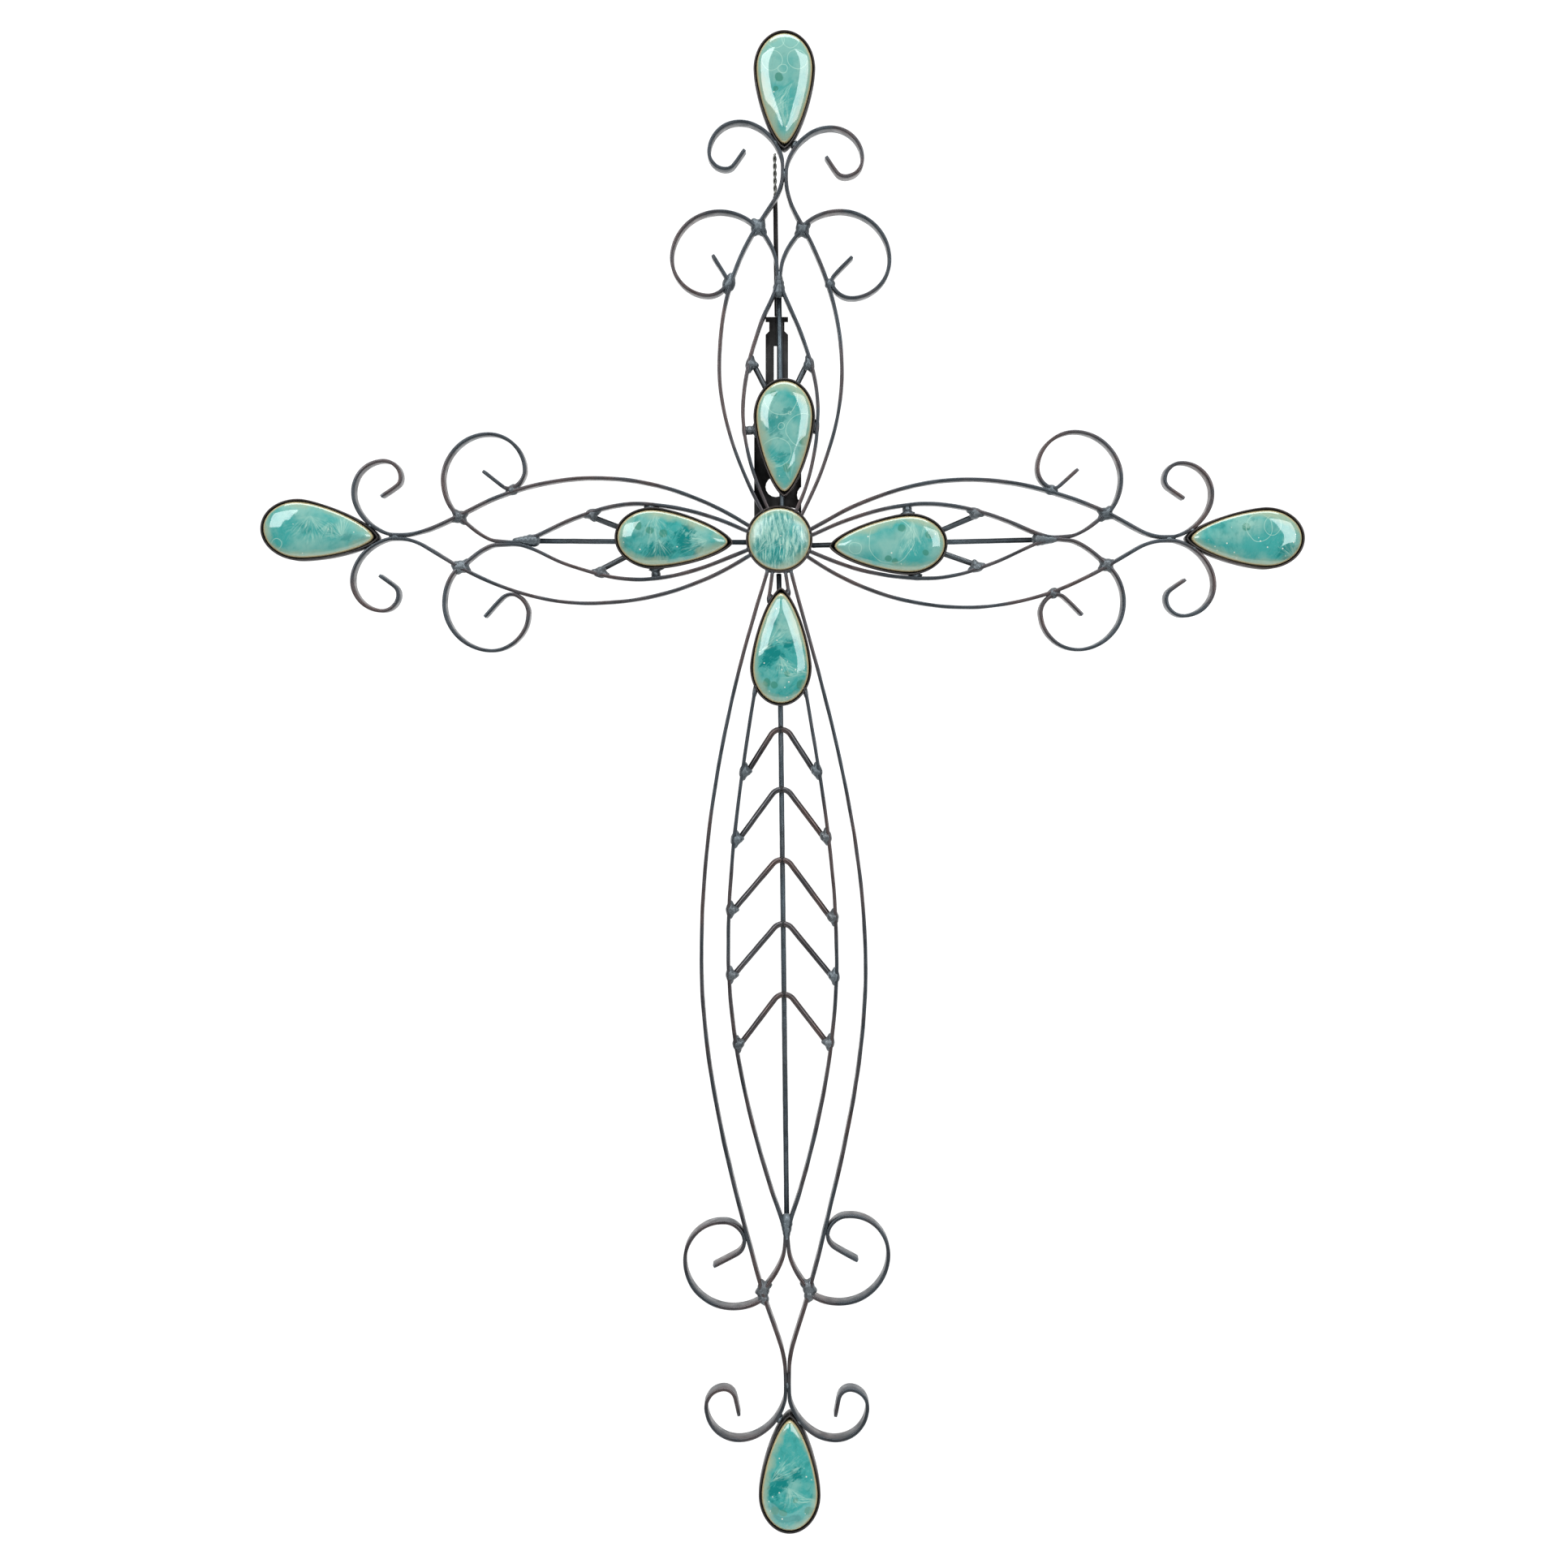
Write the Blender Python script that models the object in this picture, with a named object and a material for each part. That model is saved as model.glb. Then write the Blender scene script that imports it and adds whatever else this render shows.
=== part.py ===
"""Metal wall cross: bent strips on edge, round spine rods and glazed cabochons in steel cups.

The front of the cross faces -Y and its long arm points down -Z. The origin is on the back
face of the hanger plate, the face that rests on the wall. Sizes are in millimetres and
become metres where a mesh is made. Every arm is modelled in its own frame: local Z runs out
along the arm (u in the text below), local X across it (v), and the arm's empty turns the
whole arm about Y.
"""
import math
from collections import namedtuple

import bmesh
import bpy
import numpy as np

METRES_PER_MM = 0.001

# Stock that the cross is made from
STRIP_THICK = 2.0        # flat bar, seen on its thin edge from the front
STRIP_DEEP = 12.7        # the same bar from front to back
ROD_DIA = 3.2            # spine rods
BRACE_DIA = 3.5          # bent V braces and chevrons
PLATE_THICK = 3.0        # hanger plate
GAP = 0.3                # left between pieces that touch

# Cups and stones
HUB_RADIUS = 19.4        # outside of the round cup in the middle
CUP_LENGTH = 72.0        # teardrop cups, outside
CUP_WIDTH = 37.6
CUP_WALL = 1.0
CUP_FLOOR = 1.0
CUP_PROUD = 1.2          # how far a rim stands in front of the strips
STONE_PLAY = 0.7         # between a stone and the inside of its cup
POINT_OPEN = 4.9         # more room for the stone at the point of its cup, which stays open
STONE_SINK = 1.6         # stone's edge below the rim
STONE_DOME = 4.2         # rise of the stone's face above its edge
WIDEST_AT = 0.33         # widest place of a teardrop, from its round end, as a share of length

# Hanger behind the upper arm, measured from the middle of the hub
HUB_BELOW_MOUNT = 54.0   # the wall face's reference point is this far above the hub's middle
PLATE_LEFT = -15.4
PLATE_RIGHT = 13.5
PLATE_TOP = 68.0
PLATE_BOTTOM = 9.0
PLATE_CORNER = 4.0
PLATE_HOLE_RADIUS = 6.3
PLATE_HOLES = ((-2.1, 33.6), (17.2, 28.6), (7.1, 14.6))
SLEEVE_X = -1.5          # middle of the split sleeve above the plate
SLEEVE_WIDTH = 13.8
SLEEVE_TOP = 129.0
SLIT_WIDTH = 1.8
SLIT_BOTTOM = 88.0
SLIT_TOP = 120.0
NECK_WIDTH = 9.4
NECK_TOP = 134.7
COLLAR_WIDTH = 13.8
COLLAR_TOP = 137.7
HANGER_ROD_DIA = 2.9
HANGER_ROD_TOP = 212.0
WIRE_DIA = 2.4
WIRE_TOP = 238.0
HANGER_LEAN = 0.75       # degrees that rod and wire lean to the left

# Scrolls: each arc is (radius, degrees turned), bent one after the other, then comes a hook and
# a straight tail
BIG_SCROLL = ((31.0, 44.0), (28.5, 82.0), (22.5, 94.0), (12.2, 71.0))
BIG_TAIL = 15.0
BIG_HEADING = 47.0       # degrees from the arm's axis, before the scroll is turned to touch
BIG_TURN_MOST = 25.0     # degrees that it may be turned
TIP_SCROLL = ((14.0, 16.0), (31.0, 44.0), (23.0, 30.0), (18.6, 90.0), (10.2, 90.0))
TIP_HOOK_RADIUS = 6.4
TIP_TAIL = 11.0

# The V brace on each short arm and the chevrons on the long one, each as the places along the
# arm (u) where its legs' lines cross and where they meet the inner strips on the -v and +v side
BRACES = {"top": ((75.5, 111.5, 111.5),),
          "right": ((81.3, 123.8, 123.8),),
          "lower": ((109.0, 147.0, 147.0), (147.0, 186.0, 186.5), (190.5, 234.5, 228.3),
                    (230.0, 269.5, 268.0), (272.5, 309.5, 310.0)),
          "left": ((75.6, 113.0, 118.0),)}
APEX_RADIUS = 7.0
APEX_STEPS = 3

# How finely curves are faceted
CHORD_ERROR = 0.3
DENSE_STEP = 0.5
TRIM_STEP = 0.1
OUTLINE_SIDES = 20
DOME_STEPS = (25.0, 50.0, 72.0)   # degrees up the dome's profile
DOME_SQUARENESS = 0.7
ROD_RESOLUTION = 2       # eight sides
THIN_RESOLUTION = 1      # six sides
HOLE_SIDES = 16

# One side of an arm. Places along the arm (u) and out from its axis (v) are in millimetres.
# root, inner_root: degrees from the axis where outer and inner strip leave the hub.
# rise, fall: the outer strip's slope at the hub and at its knee.
# belly, knee: (u, v) of the outer strip's widest place and of a point on its way in.
# cross: u where the inner strip meets the outer strip.
# meet, leave: u between which the two outer strips lie side by side.
# scroll: the big scroll's root (u), its scale, its hook's radius and the degrees the hook turns.
# play: free space between the cup's side and the inner strip.
Side = namedtuple("Side", "root rise belly knee fall cross meet leave scroll tip_scale inner_root "
                          "play")
# lean: clockwise turn of the arm from its compass direction, in degrees.
# junction: (u, v) where the inner strips come together. touch: length that they stay together.
# spread: the inner strips' slope just hubward of the junction. inner_rise: slope at the hub.
# inner_belly: u of the inner strips' widest place.
# rod: v of the spine rod at the hub and at the junction.
# cup, tip: (gap along the arm or 0, v at the cup's middle, lean in degrees)
# hook: degrees turned by the last bend of the tip scrolls.
Arm = namedtuple("Arm", "turn lean sides junction touch spread inner_rise inner_belly rod cup tip "
                        "hook")

ARMS = {
    "top": Arm(
        turn=0.0, lean=0.8, junction=(156.0, -2.4), touch=8.0, spread=0.45, inner_rise=0.47,
        inner_belly=79.0, rod=(1.4, -2.4), cup=(7.4, 2.2, -0.8), tip=(-0.7, -0.8), hook=55.0,
        sides={
            -1: Side(root=30.5, rise=0.56, belly=(108.0, 38.1), knee=(193.0, 15.2), fall=-0.63,
                     cross=192.0, meet=222.0, leave=229.5, scroll=(190.9, 1.025, 4.5, 57.0),
                     tip_scale=1.0, inner_root=20.0, play=3.4),
            1: Side(root=41.0, rise=0.50, belly=(102.0, 36.8), knee=(193.0, 10.8), fall=-0.58,
                    cross=191.0, meet=220.0, leave=226.0, scroll=(191.7, 1.06, 5.4, 67.0),
                    tip_scale=1.03, inner_root=29.0, play=2.7)}),
    "right": Arm(
        turn=90.0, lean=-0.3, junction=(163.0, -0.7), touch=12.0, spread=0.42, inner_rise=0.47,
        inner_belly=90.0, rod=(2.6, -0.2), cup=(11.0, 2.8, -1.2), tip=(0.0, 0.3), hook=55.0,
        sides={
            -1: Side(root=19.5, rise=0.60, belly=(114.0, 36.8), knee=(198.0, 17.0), fall=-0.45,
                     cross=200.0, meet=234.0, leave=238.5, scroll=(200.6, 1.01, 5.2, 63.0),
                     tip_scale=1.0, inner_root=9.0, play=2.3),
            1: Side(root=29.5, rise=0.69, belly=(115.0, 41.1), knee=(200.0, 16.4), fall=-0.57,
                    cross=200.5, meet=234.0, leave=239.0, scroll=(200.4, 1.016, 6.5, 69.0),
                    tip_scale=1.02, inner_root=19.0, play=3.6)}),
    "lower": Arm(
        turn=180.0, lean=-0.55, junction=(420.0, -0.3), touch=9.0, spread=0.33, inner_rise=0.14,
        inner_belly=252.0, rod=(0.4, -0.6), cup=(9.2, -2.0, 0.6), tip=(-0.9, 0.6), hook=78.0,
        sides={
            -1: Side(root=20.5, rise=0.27, belly=(258.0, 50.2), knee=(455.0, 14.6), fall=-0.26,
                     cross=457.0, meet=508.0, leave=521.0, scroll=(458.8, 1.043, 8.9, 75.0),
                     tip_scale=1.06, inner_root=11.0, play=12.8),
            1: Side(root=22.0, rise=0.33, belly=(258.0, 49.9), knee=(456.0, 14.9), fall=-0.27,
                    cross=457.0, meet=508.0, leave=520.0, scroll=(461.1, 1.03, 9.2, 78.0),
                    tip_scale=1.08, inner_root=13.0, play=13.7)}),
    "left": Arm(
        turn=270.0, lean=0.6, junction=(157.0, -3.1), touch=14.0, spread=0.45, inner_rise=0.45,
        inner_belly=86.0, rod=(-0.8, -1.4), cup=(8.8, 0.2, 2.4), tip=(2.4, 5.0), hook=55.0,
        sides={
            -1: Side(root=26.5, rise=0.66, belly=(117.0, 39.3), knee=(200.0, 15.0), fall=-0.57,
                     cross=194.0, meet=231.0, leave=235.0, scroll=(194.9, 1.025, 7.7, 70.6),
                     tip_scale=0.98, inner_root=16.0, play=4.6),
            1: Side(root=26.0, rise=0.61, belly=(110.0, 37.1), knee=(190.0, 16.3), fall=-0.54,
                    cross=196.0, meet=231.0, leave=234.5, scroll=(196.1, 0.996, 6.2, 62.0),
                    tip_scale=1.0, inner_root=16.0, play=1.8)}),
}
SIDE_NAMES = {"top": {-1: "left", 1: "right"}, "right": {-1: "upper", 1: "lower"},
              "lower": {-1: "right", 1: "left"}, "left": {-1: "lower", 1: "upper"}}
INNER_END_SLOPE = 0.85   # inner strip's slope where it runs into the outer strip

# Layers from the wall (y = 0) to the front, all towards -Y
STRIP_BACK = -(PLATE_THICK + GAP)
STRIP_FRONT = STRIP_BACK - STRIP_DEEP
ROD_Y = STRIP_BACK - ROD_DIA / 2
BRACE_Y = ROD_Y - ROD_DIA / 2 - GAP - BRACE_DIA / 2
CUP_BACK = BRACE_Y - BRACE_DIA / 2 - GAP
RIM_FRONT = STRIP_FRONT - CUP_PROUD
FLOOR_FRONT = CUP_BACK - CUP_FLOOR
STONE_BACK = FLOOR_FRONT - GAP
STONE_EDGE = RIM_FRONT + STONE_SINK
CLEAR = STRIP_THICK / 2 + GAP      # from a strip's middle line to a neighbour's face


# Curves in an arm's plane, as arrays of (u, v)

def hermite(start, slope_start, end, slope_end):
    """A smooth run from start to end with the given slopes dv/du."""
    length = end[0] - start[0]
    count = max(2, int(abs(length) / DENSE_STEP))
    s = np.linspace(0.0, 1.0, count + 1)
    v = ((2 * s**3 - 3 * s**2 + 1) * start[1] + (s**3 - 2 * s**2 + s) * length * slope_start
         + (3 * s**2 - 2 * s**3) * end[1] + (s**3 - s**2) * length * slope_end)
    return np.column_stack((start[0] + s * length, v))


def bend(start, heading, arcs, tail):
    """Arcs bent one after the other from start, then a straight tail.

    heading is measured from the arm's axis towards +v, in degrees, and each arc adds to it.
    """
    points = [np.array(start, float)]
    angle = math.radians(heading)
    for radius, degrees in arcs:
        count = max(2, int(radius * math.radians(degrees) / DENSE_STEP))
        step = math.radians(degrees) / count
        for _ in range(count):
            angle += step / 2
            chord = 2 * radius * math.sin(step / 2)
            points.append(points[-1] + chord * np.array((math.cos(angle), math.sin(angle))))
            angle += step / 2
    points.append(points[-1] + tail * np.array((math.cos(angle), math.sin(angle))))
    return np.array(points)


def join(*runs):
    """Runs laid end to end, without the doubled points."""
    points = [runs[0][0]]
    for run in runs:
        points.extend(p for p in run if np.linalg.norm(p - points[-1]) > TRIM_STEP)
    return np.array(points)


def simplify(points):
    """The fewest points that stay within CHORD_ERROR of the curve."""
    if len(points) < 3:
        return points
    chord = points[-1] - points[0]
    length = np.linalg.norm(chord)
    offset = points[1:-1] - points[0]
    if length < TRIM_STEP:
        distance = np.linalg.norm(offset, axis=1)
    else:
        distance = abs(offset[:, 0] * chord[1] - offset[:, 1] * chord[0]) / length
    worst = int(np.argmax(distance))
    if distance[worst] <= CHORD_ERROR:
        return points[[0, -1]]
    split = worst + 1
    return np.vstack((simplify(points[:split + 1])[:-1], simplify(points[split:])))


def mirror(points, side):
    """Curves are drawn on the +v side; side is 1 to keep them there and -1 for the other."""
    return points * np.array((1.0, side))


def offset(points, distance):
    """The same open or closed line moved sideways by distance, with mitred corners."""
    closed = np.linalg.norm(points[0] - points[-1]) < 1e-6
    body = points[:-1] if closed else points
    before = np.roll(body, 1, axis=0)
    after = np.roll(body, -1, axis=0)
    if not closed:
        before[0] = body[0] - (body[1] - body[0])
        after[-1] = body[-1] + (body[-1] - body[-2])
    ahead = (body - before) / np.linalg.norm(body - before, axis=1)[:, None]
    onward = (after - body) / np.linalg.norm(after - body, axis=1)[:, None]
    normal = np.column_stack((-(ahead + onward)[:, 1], (ahead + onward)[:, 0]))
    normal /= np.linalg.norm(normal, axis=1)[:, None]
    cosine = np.einsum("ij,ij->i", normal, np.column_stack((-ahead[:, 1], ahead[:, 0])))
    moved = body + normal * (distance / cosine)[:, None]
    return np.vstack((moved, moved[:1])) if closed else moved


# Distances, used to lay pieces against each other with the gap that welded pieces keep

def distance_to_line(point, line):
    """Shortest distance from one point to a polyline."""
    a, b = line[:-1], line[1:]
    along = b - a
    share = np.einsum("ij,ij->i", point - a, along) / np.einsum("ij,ij->i", along, along)
    nearest = a + along * np.clip(share, 0.0, 1.0)[:, None]
    return float(np.linalg.norm(nearest - point, axis=1).min())


def inside(point, loop):
    """Whether a point lies within a closed polyline."""
    u, v = loop[:-1, 0], loop[:-1, 1]
    u2, v2 = loop[1:, 0], loop[1:, 1]
    spans = (v > point[1]) != (v2 > point[1])
    height = np.where(v2 == v, 1.0, v2 - v)
    at = u + (point[1] - v) * (u2 - u) / height
    return bool(np.count_nonzero(spans & (point[0] < at)) % 2)


def clearance(point, lines, loops):
    """Free distance from a point to strips (by their middle lines) and to closed outlines."""
    free = [distance_to_line(point, line) - STRIP_THICK / 2 for line in lines]
    for loop in loops:
        free.append(-1.0 if inside(point, loop) else distance_to_line(point, loop))
    return min(free)


def strip_is_clear(points, index, lines, loops):
    """Whether a strip's cross-section at one point of its path is free of its neighbours."""
    ahead = points[min(index + 1, len(points) - 1)] - points[max(index - 1, 0)]
    normal = np.array((-ahead[1], ahead[0])) / np.linalg.norm(ahead)
    return all(clearance(points[index] + normal * side, lines, loops) >= GAP
               for side in (-STRIP_THICK / 2, 0.0, STRIP_THICK / 2))


def refine(points, step):
    """Points no further apart than step."""
    fine = [points[0]]
    for a, b in zip(points[:-1], points[1:]):
        count = max(1, math.ceil(np.linalg.norm(b - a) / step))
        fine.extend(a + (b - a) * k / count for k in range(1, count + 1))
    return np.array(fine)


def trim_start(points, lines, loops):
    """Cut away the start of a strip until its end is free of what it butts against."""
    fine = refine(points, TRIM_STEP)
    index = 0
    while not strip_is_clear(fine, index, lines, loops):
        index += 1
    return fine[index:]


def trim_end(points, lines, loops):
    return trim_start(points[::-1], lines, loops)[::-1]


def solve(is_clear, blocked, free):
    """The value nearest to blocked at which is_clear holds, between blocked and free."""
    for _ in range(24):
        middle = (blocked + free) / 2
        if is_clear(middle):
            free = middle
        else:
            blocked = middle
    return free


def turned(points, centre, degrees):
    angle = math.radians(degrees)
    matrix = np.array(((math.cos(angle), -math.sin(angle)), (math.sin(angle), math.cos(angle))))
    return (points - centre) @ matrix.T + centre


# Outlines of cups and stones

def teardrop(length, width):
    """Closed outline with its point at u = 0 and its round end at u = length."""
    round_end = length * WIDEST_AT
    point_end = length - round_end
    sides = OUTLINE_SIDES // 2
    half = []
    for k in range(sides + 1):
        angle = math.pi * k / sides
        reach = math.cos(angle)
        if reach > 0:
            share = (1 - reach**1.42)**0.66
            half.append((point_end * (1 - reach), width / 2 * share))
        else:
            half.append((point_end - round_end * reach, width / 2 * math.sin(angle)))
    half[-1] = (length, 0.0)
    other = [(u, -v) for u, v in half[-2:0:-1]]
    return np.array(half + other + half[:1])[::-1]


def circle(radius):
    angles = np.linspace(0.0, 2 * math.pi, OUTLINE_SIDES + 1)
    loop = np.column_stack((np.cos(angles), np.sin(angles))) * radius
    loop[-1] = loop[0]
    return loop


def placed(outline, tip, across, lean):
    """An outline with its point at u = tip, its middle at v = across, turned by lean."""
    middle = np.array((outline[:, 0].max() / 2, 0.0))
    return turned(outline, middle, lean) + np.array((tip, across))


def stone_outline(tip, across, lean):
    """The stone sits at the round end of its cup, which leaves the cup's point open."""
    margin = CUP_WALL + STONE_PLAY
    length = CUP_LENGTH - margin - POINT_OPEN
    outline = teardrop(length, CUP_WIDTH - 2 * margin) + np.array((POINT_OPEN, 0.0))
    middle = np.array((CUP_LENGTH / 2, 0.0))
    return turned(outline, middle, lean) + np.array((tip, across))


# Meshes

def principled(name, colour, metallic, roughness):
    material = bpy.data.materials.new(name)
    material.use_nodes = True
    shader = material.node_tree.nodes["Principled BSDF"]
    shader.inputs["Base Color"].default_value = (*colour, 1.0)
    shader.inputs["Metallic"].default_value = metallic
    shader.inputs["Roughness"].default_value = roughness
    material.diffuse_color = (*colour, 1.0)
    return material


def finish(name, bm, parent, material, sharp_degrees=40.0):
    bmesh.ops.recalc_face_normals(bm, faces=bm.faces)
    mesh = bpy.data.meshes.new(name)
    bm.to_mesh(mesh)
    bm.free()
    mesh.shade_smooth()
    mesh.set_sharp_from_angle(angle=math.radians(sharp_degrees))
    mesh.materials.append(material)
    piece = bpy.data.objects.new(name, mesh)
    bpy.context.collection.objects.link(piece)
    piece.parent = parent
    return piece


def at(point, y):
    """An arm's (u, v) as local coordinates in metres: v is X and u is Z."""
    return (point[1] * METRES_PER_MM, y * METRES_PER_MM, point[0] * METRES_PER_MM)


def strip_piece(name, points, parent, material):
    """A bar on edge: a ribbon as wide as the bar is thick, extruded from front to back."""
    path = simplify(points)
    one = offset(path, STRIP_THICK / 2)
    other = offset(path, -STRIP_THICK / 2)
    bm = bmesh.new()
    pairs = [(bm.verts.new(at(a, STRIP_FRONT)), bm.verts.new(at(b, STRIP_FRONT)))
             for a, b in zip(one, other)]
    faces = [bm.faces.new((a[0], b[0], b[1], a[1])) for a, b in zip(pairs[:-1], pairs[1:])]
    grown = bmesh.ops.extrude_face_region(bm, geom=faces)["geom"]
    verts = [v for v in grown if isinstance(v, bmesh.types.BMVert)]
    bmesh.ops.translate(bm, verts=verts, vec=(0.0, STRIP_DEEP * METRES_PER_MM, 0.0))
    return finish(name, bm, parent, material)


def loft(name, rings, parent, material):
    """Rings of the same number of points, bridged in turn and capped at both ends."""
    bm = bmesh.new()
    loops = [[bm.verts.new(at(p, y)) for p in outline[:-1]] for outline, y in rings]
    for lower, upper in zip(loops[:-1], loops[1:]):
        for k in range(len(lower)):
            n = (k + 1) % len(lower)
            bm.faces.new((lower[k], lower[n], upper[n], upper[k]))
    bm.faces.new(loops[0])
    bm.faces.new(loops[-1])
    return finish(name, bm, parent, material)


def tray_cup(name, outline, parent, material):
    """A shallow cup that lies on the rods and braces."""
    inner = offset(outline, CUP_WALL)
    rings = ((outline, CUP_BACK), (outline, RIM_FRONT), (inner, RIM_FRONT), (inner, FLOOR_FRONT))
    return loft(name, rings, parent, material)


def ring_cup(name, outline, parent, material):
    """A cup as deep as the strips, its floor set in and the back left open."""
    inner = offset(outline, CUP_WALL)
    rings = ((inner, CUP_BACK), (inner, STRIP_BACK), (outline, STRIP_BACK), (outline, RIM_FRONT),
             (inner, RIM_FRONT), (inner, FLOOR_FRONT))
    return loft(name, rings, parent, material)


def stone_piece(name, outline, parent, material):
    """A cabochon: straight sides up to its edge, then a dome with full shoulders."""
    middle = outline[:-1].mean(axis=0)
    rings = [(outline, STONE_BACK), (outline, STONE_EDGE)]
    for degrees in DOME_STEPS:
        angle = math.radians(degrees)
        share = math.cos(angle)**DOME_SQUARENESS
        rings.append(((outline - middle) * share + middle,
                      STONE_EDGE - STONE_DOME * math.sin(angle)))
    return loft(name, rings, parent, material)


def rod_piece(name, points, y, diameter, parent, material, resolution=ROD_RESOLUTION):
    """A round rod along points, as a curve with a bevel and filled ends."""
    curve = bpy.data.curves.new(name, "CURVE")
    curve.dimensions = "3D"
    curve.bevel_depth = diameter / 2 * METRES_PER_MM
    curve.bevel_resolution = resolution
    curve.use_fill_caps = True
    spline = curve.splines.new("POLY")
    spline.points.add(len(points) - 1)
    for place, point in zip(spline.points, points):
        place.co = (*at(point, y), 1.0)
    curve.materials.append(material)
    piece = bpy.data.objects.new(name, curve)
    bpy.context.collection.objects.link(piece)
    piece.parent = parent
    return piece


# Parts of an arm

def outer_line(arm, side):
    """The outer strip's middle line on the +v side, from the hub to the end of its tip scroll."""
    s = arm.sides[side]
    root = np.array((math.cos(math.radians(s.root)), math.sin(math.radians(s.root)))) * HUB_RADIUS
    together = (STRIP_THICK + GAP) / 2
    scale = s.tip_scale
    arcs = [(radius * scale, degrees) for radius, degrees in TIP_SCROLL]
    arcs.append((TIP_HOOK_RADIUS * scale, arm.hook))
    return join(hermite(root, s.rise, s.belly, 0.0),
                hermite(s.belly, 0.0, s.knee, s.fall),
                hermite(s.knee, s.fall, (s.meet, together), 0.0),
                bend((s.leave, together), 0.0, arcs, TIP_TAIL))


def point_at(points, u):
    """The first point of a line that reaches u."""
    index = int(np.argmax(points[:, 0] >= u))
    a, b = points[index - 1], points[index]
    return a + (b - a) * (u - a[0]) / (b[0] - a[0])


def inner_line(arm, side, crossing):
    """The inner strip's middle line on the +v side, from the hub to the crossing."""
    s = arm.sides[side]
    together = (STRIP_THICK + GAP) / 2
    root = np.array((math.cos(math.radians(s.inner_root)),
                     math.sin(math.radians(s.inner_root)))) * HUB_RADIUS
    belly = (arm.inner_belly, CUP_WIDTH / 2 + s.play + STRIP_THICK / 2)
    near = (arm.junction[0], arm.junction[1] * side + together)
    far = (arm.junction[0] + arm.touch, near[1])
    return join(hermite(root, arm.inner_rise, belly, 0.0),
                hermite(belly, 0.0, near, -arm.spread),
                np.array((near, far)),
                hermite(far, 0.0, crossing, INNER_END_SLOPE))


def big_scroll(arm, side, outer):
    """The big scroll, turned about its root until its hook lies against the outer strip."""
    root, scale, hook_radius, hook = arm.sides[side].scroll
    start = point_at(outer, root)
    arcs = [(radius * scale, degrees) for radius, degrees in BIG_SCROLL]
    drawn = bend(start, BIG_HEADING, arcs + [(hook_radius, hook)], BIG_TAIL * scale)
    path = simplify(drawn)
    inward = path[len(path) // 2:]

    def is_clear(degrees):
        line = refine(turned(inward, start, -degrees), DENSE_STEP)
        return min(distance_to_line(p, outer) for p in line) >= STRIP_THICK + GAP

    angle = solve(is_clear, -BIG_TURN_MOST, BIG_TURN_MOST)
    return trim_start(turned(drawn, start, -angle), [outer], [])


def seated_cup(arm, strips):
    """The tip cup, slid in from outside until it touches the two strips that fork round it."""
    across, lean = arm.tip
    outline = teardrop(CUP_LENGTH, CUP_WIDTH)
    start = min(s.leave for s in arm.sides.values())

    def is_clear(tip):
        loop = placed(outline, tip, across, lean)
        points = refine(loop, 1.0)
        return min(distance_to_line(p, line) for p in points for line in strips) >= CLEAR

    tip = solve(is_clear, start - CUP_WIDTH / 2, start + CUP_WIDTH)
    return placed(outline, tip, across, lean), stone_outline(tip, across, lean)


def inner_cup(arm, strips):
    """The inner cup, moved where an outer strip would cut into it: across the arm as far as
    that helps, and otherwise also out along it."""
    stand, across, lean = arm.cup
    outline = teardrop(CUP_LENGTH, CUP_WIDTH)
    away = -1.0 if across > 0 else 1.0

    def is_clear(place):
        loop = refine(placed(outline, *place, lean), 1.0)
        return min(distance_to_line(p, line) for p in loop for line in strips) >= CLEAR

    places = ((HUB_RADIUS + stand + out, across + away * shift)
              for out in np.arange(0.0, CUP_LENGTH / 2, 1.0)
              for shift in np.arange(0.0, CUP_WIDTH / 8, TRIM_STEP * 2))
    tip, across = next(place for place in places if is_clear(place))
    return placed(outline, tip, across, lean), stone_outline(tip, across, lean)


def bent_v(apex, feet, lines):
    """A rod from one foot over a rounded apex to the other, each foot short of its strip."""
    apex = np.array(apex)
    legs = []
    for foot, line in zip(feet, lines):
        direction = (foot - apex) / np.linalg.norm(foot - apex)
        reach = np.linalg.norm(foot - apex)
        keep = BRACE_DIA / 2 + CLEAR

        def is_clear(length, direction=direction, line=line):
            return distance_to_line(apex + direction * length, line) >= keep

        legs.append((direction, solve(is_clear, reach + keep, APEX_RADIUS)))
    one, other = legs[0][0], legs[1][0]
    middle = (one + other) / np.linalg.norm(one + other)
    half = math.acos(float(np.clip(one @ middle, -1.0, 1.0)))
    centre = apex + middle * APEX_RADIUS / math.sin(half)
    start = math.atan2(*(apex + one * APEX_RADIUS / math.tan(half) - centre)[::-1])
    end = math.atan2(*(apex + other * APEX_RADIUS / math.tan(half) - centre)[::-1])
    sweep = (end - start + math.pi) % (2 * math.pi) - math.pi
    arc = [centre + APEX_RADIUS * np.array((math.cos(start + sweep * k / APEX_STEPS),
                                            math.sin(start + sweep * k / APEX_STEPS)))
           for k in range(APEX_STEPS + 1)]
    return [apex + one * legs[0][1]] + arc + [apex + other * legs[1][1]]


def rod_at(arm, u):
    """Where the spine rod's middle line is at u."""
    share = (u - HUB_RADIUS) / (arm.junction[0] - HUB_RADIUS)
    return np.array((u, arm.rod[0] + (arm.rod[1] - arm.rod[0]) * share))


def spine_rod(arm, strips):
    """The spine rod, from the hub to where the inner strips close in on it."""
    keep = ROD_DIA / 2 + CLEAR

    def is_clear(u):
        return min(distance_to_line(rod_at(arm, u), line) for line in strips) >= keep

    return [rod_at(arm, HUB_RADIUS + GAP),
            rod_at(arm, solve(is_clear, arm.junction[0], arm.inner_belly))]


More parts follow.
